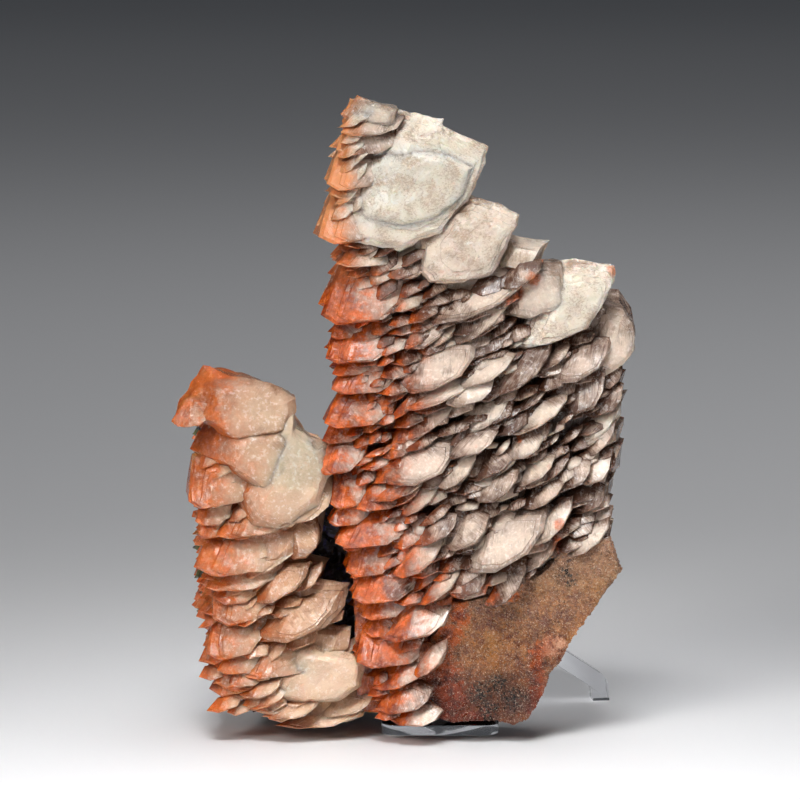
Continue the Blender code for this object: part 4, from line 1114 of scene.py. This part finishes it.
# %% Mix the rock
def rock_finish(name):
    finish, tree = new_finish(name)
    place_in = place_on(tree)
    mottle = cloud(place_in, 160, 4, 0.65)
    crumbs = cloud(place_in, 900, 3, 0.7)
    ore = cloud(place_in, 420, 2, 0.5, 0.6).between(0.5, 0.58)
    dark = layer(mottle.between(0.35, 0.65), "120D0D", "2C2220")
    body = layer(ore, dark, layer(mottle.between(0.45, 0.6), "70707E", "3C3A6A"))
    edge = place_in.axis("X").between(-0.05, -0.057) * mottle.between(0.42, 0.5)
    return fill_in(finish, {"Base Color": layer(edge, body, "56562E"), "Metallic": ore * (edge * -1 + 1),
                            "Roughness": crumbs.between(0.3, 0.7, 0.22, 0.6)}, crumbs, 0.7, 0.6)


dark_rock = rock_finish("dark_rock")
dress(rock_body, dark_rock)
dress(rock_plates, dark_rock)

# %% [markdown]
# ## The clear easel
# The easel is bent from clear acrylic strip. Polished acrylic shows by its rounded edges, which catch the
# light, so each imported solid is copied, merged and bevelled along its sharp edges. Clear plastic throws
# hardly any shadow, so the easel's is turned off.

# %% Round the easel's edges
def rounded_copy(solid, name):
    piece = body_from(solid, name, 0, 0)
    choose(piece)
    round_off = piece.modifiers.new("Rounded edges", "BEVEL")
    round_off.width = 0.5 * MM
    round_off.segments = 3
    round_off.limit_method = "ANGLE"
    round_off.angle_limit = math.radians(40)
    bpy.ops.object.modifier_apply(modifier=round_off.name)
    bpy.ops.object.shade_smooth_by_angle(angle=math.radians(35))
    print(name, len(piece.data.polygons), "faces")
    return piece


def acrylic_finish(name):
    finish, tree = new_finish(name)
    wear = cloud(place_on(tree), 300, 3, 0.6)
    return fill_in(finish, {"Base Color": "FBFCFF", "Roughness": wear.between(0.4, 0.8, 0.02, 0.1),
                            "Transmission Weight": 1, "IOR": 1.49})


acrylic = acrylic_finish("clear_acrylic")
easel = {}
for solid in ("easel_base", "easel_back_rest", "easel_leg_left", "easel_leg_right"):
    easel[solid] = rounded_copy(solid, solid.replace("easel", "clear"))
    dress(easel[solid], acrylic)
    easel[solid].visible_shadow = False

# %% [markdown]
# ## What stands for what
# Each new piece rides on the one body of this part, and the bodies stand for the imported solids that
# they were copied from, which are hidden.

# %% Fasten the pieces to the frame
groups = {
    "banded_calcite": (tall_body, *tall_pieces, foot_grains, rock_crystals),
    "cream_calcite": short_pieces,
    "dark_rock": (rock_body, rock_plates),
    "clear_acrylic": tuple(easel.values()),
}
for slot, things in groups.items():
    for thing in things:
        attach(thing, "root")
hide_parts("calcite_tall_stack")
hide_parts("calcite_short_stack")
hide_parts("matrix_rock")
for solid, piece in easel.items():
    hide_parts(solid)

# %% [markdown]
# ## Floor and light
# A pale floor runs far behind the specimen, a little below the base so that the two faces don't meet. A
# large soft light hangs over it, so the floor darkens smoothly with distance, as a studio sweep does. A
# second large one far behind keeps the distance from going black. The key light stands at the left in
# front, a narrow one higher up in front brightens the tops of the crystals, and a weak one at the right
# opens the shadows.

# %% Lay the floor
FLOOR_RADIUS, FLOOR_DROP = 30, 0.3 * MM
bpy.ops.object.select_all(action="DESELECT")
bpy.ops.mesh.primitive_circle_add(vertices=96, radius=FLOOR_RADIUS, fill_type="NGON",
                                  location=(0, 0, -FLOOR_DROP))
floor = bpy.context.object
floor.name = "studio_floor"
dress(floor, fill_in(new_finish("pale_floor")[0], {"Base Color": "E6E6E8", "Roughness": 0.45}))


# %% Hang the lights
def softbox(name, where, size, power, aim, spread=180, tint=(1, 1, 1)):
    """A rectangular soft light that points at its aim."""
    bpy.ops.object.light_add(type="AREA", location=where)
    lamp = bpy.context.object
    lamp.name = name
    lamp.data.shape = "RECTANGLE"
    lamp.data.size, lamp.data.size_y = size
    lamp.data.energy = power
    lamp.data.color = tint
    lamp.data.spread = math.radians(spread)
    lamp.rotation_euler = (Vector(aim) - Vector(where)).to_track_quat("-Z", "Y").to_euler()
    print(name, power, "W")


softbox("key_light", (-0.60, -0.85, 0.72), (0.34, 0.34), 0.51, (0, -0.1, 0.05), 50, (1, 0.985, 0.95))
softbox("fill_light", (0.95, -0.45, 0.35), (0.4, 0.7), 0.08, (0, 0, 0.09), 70, (0.97, 0.98, 1))
softbox("front_top_light", (-0.05, -0.60, 0.90), (0.4, 0.4), 1.2, (0, -0.25, 0), 40)
softbox("room_light", (0.4, 0.25, 2.2), (1.4, 1.4), 18.5, (0.4, 0.25, 0))
softbox("far_light", (0.4, 4, 5), (4, 4), 10.8, (0.4, 4, 0))
world = bpy.data.worlds.new("studio")
world.use_nodes = True
world.node_tree.nodes["Background"].inputs["Color"].default_value = colour("9A9EA4")
world.node_tree.nodes["Background"].inputs["Strength"].default_value = 0.165
bpy.context.scene.world = world
bpy.context.scene.view_settings.view_transform = "Standard"
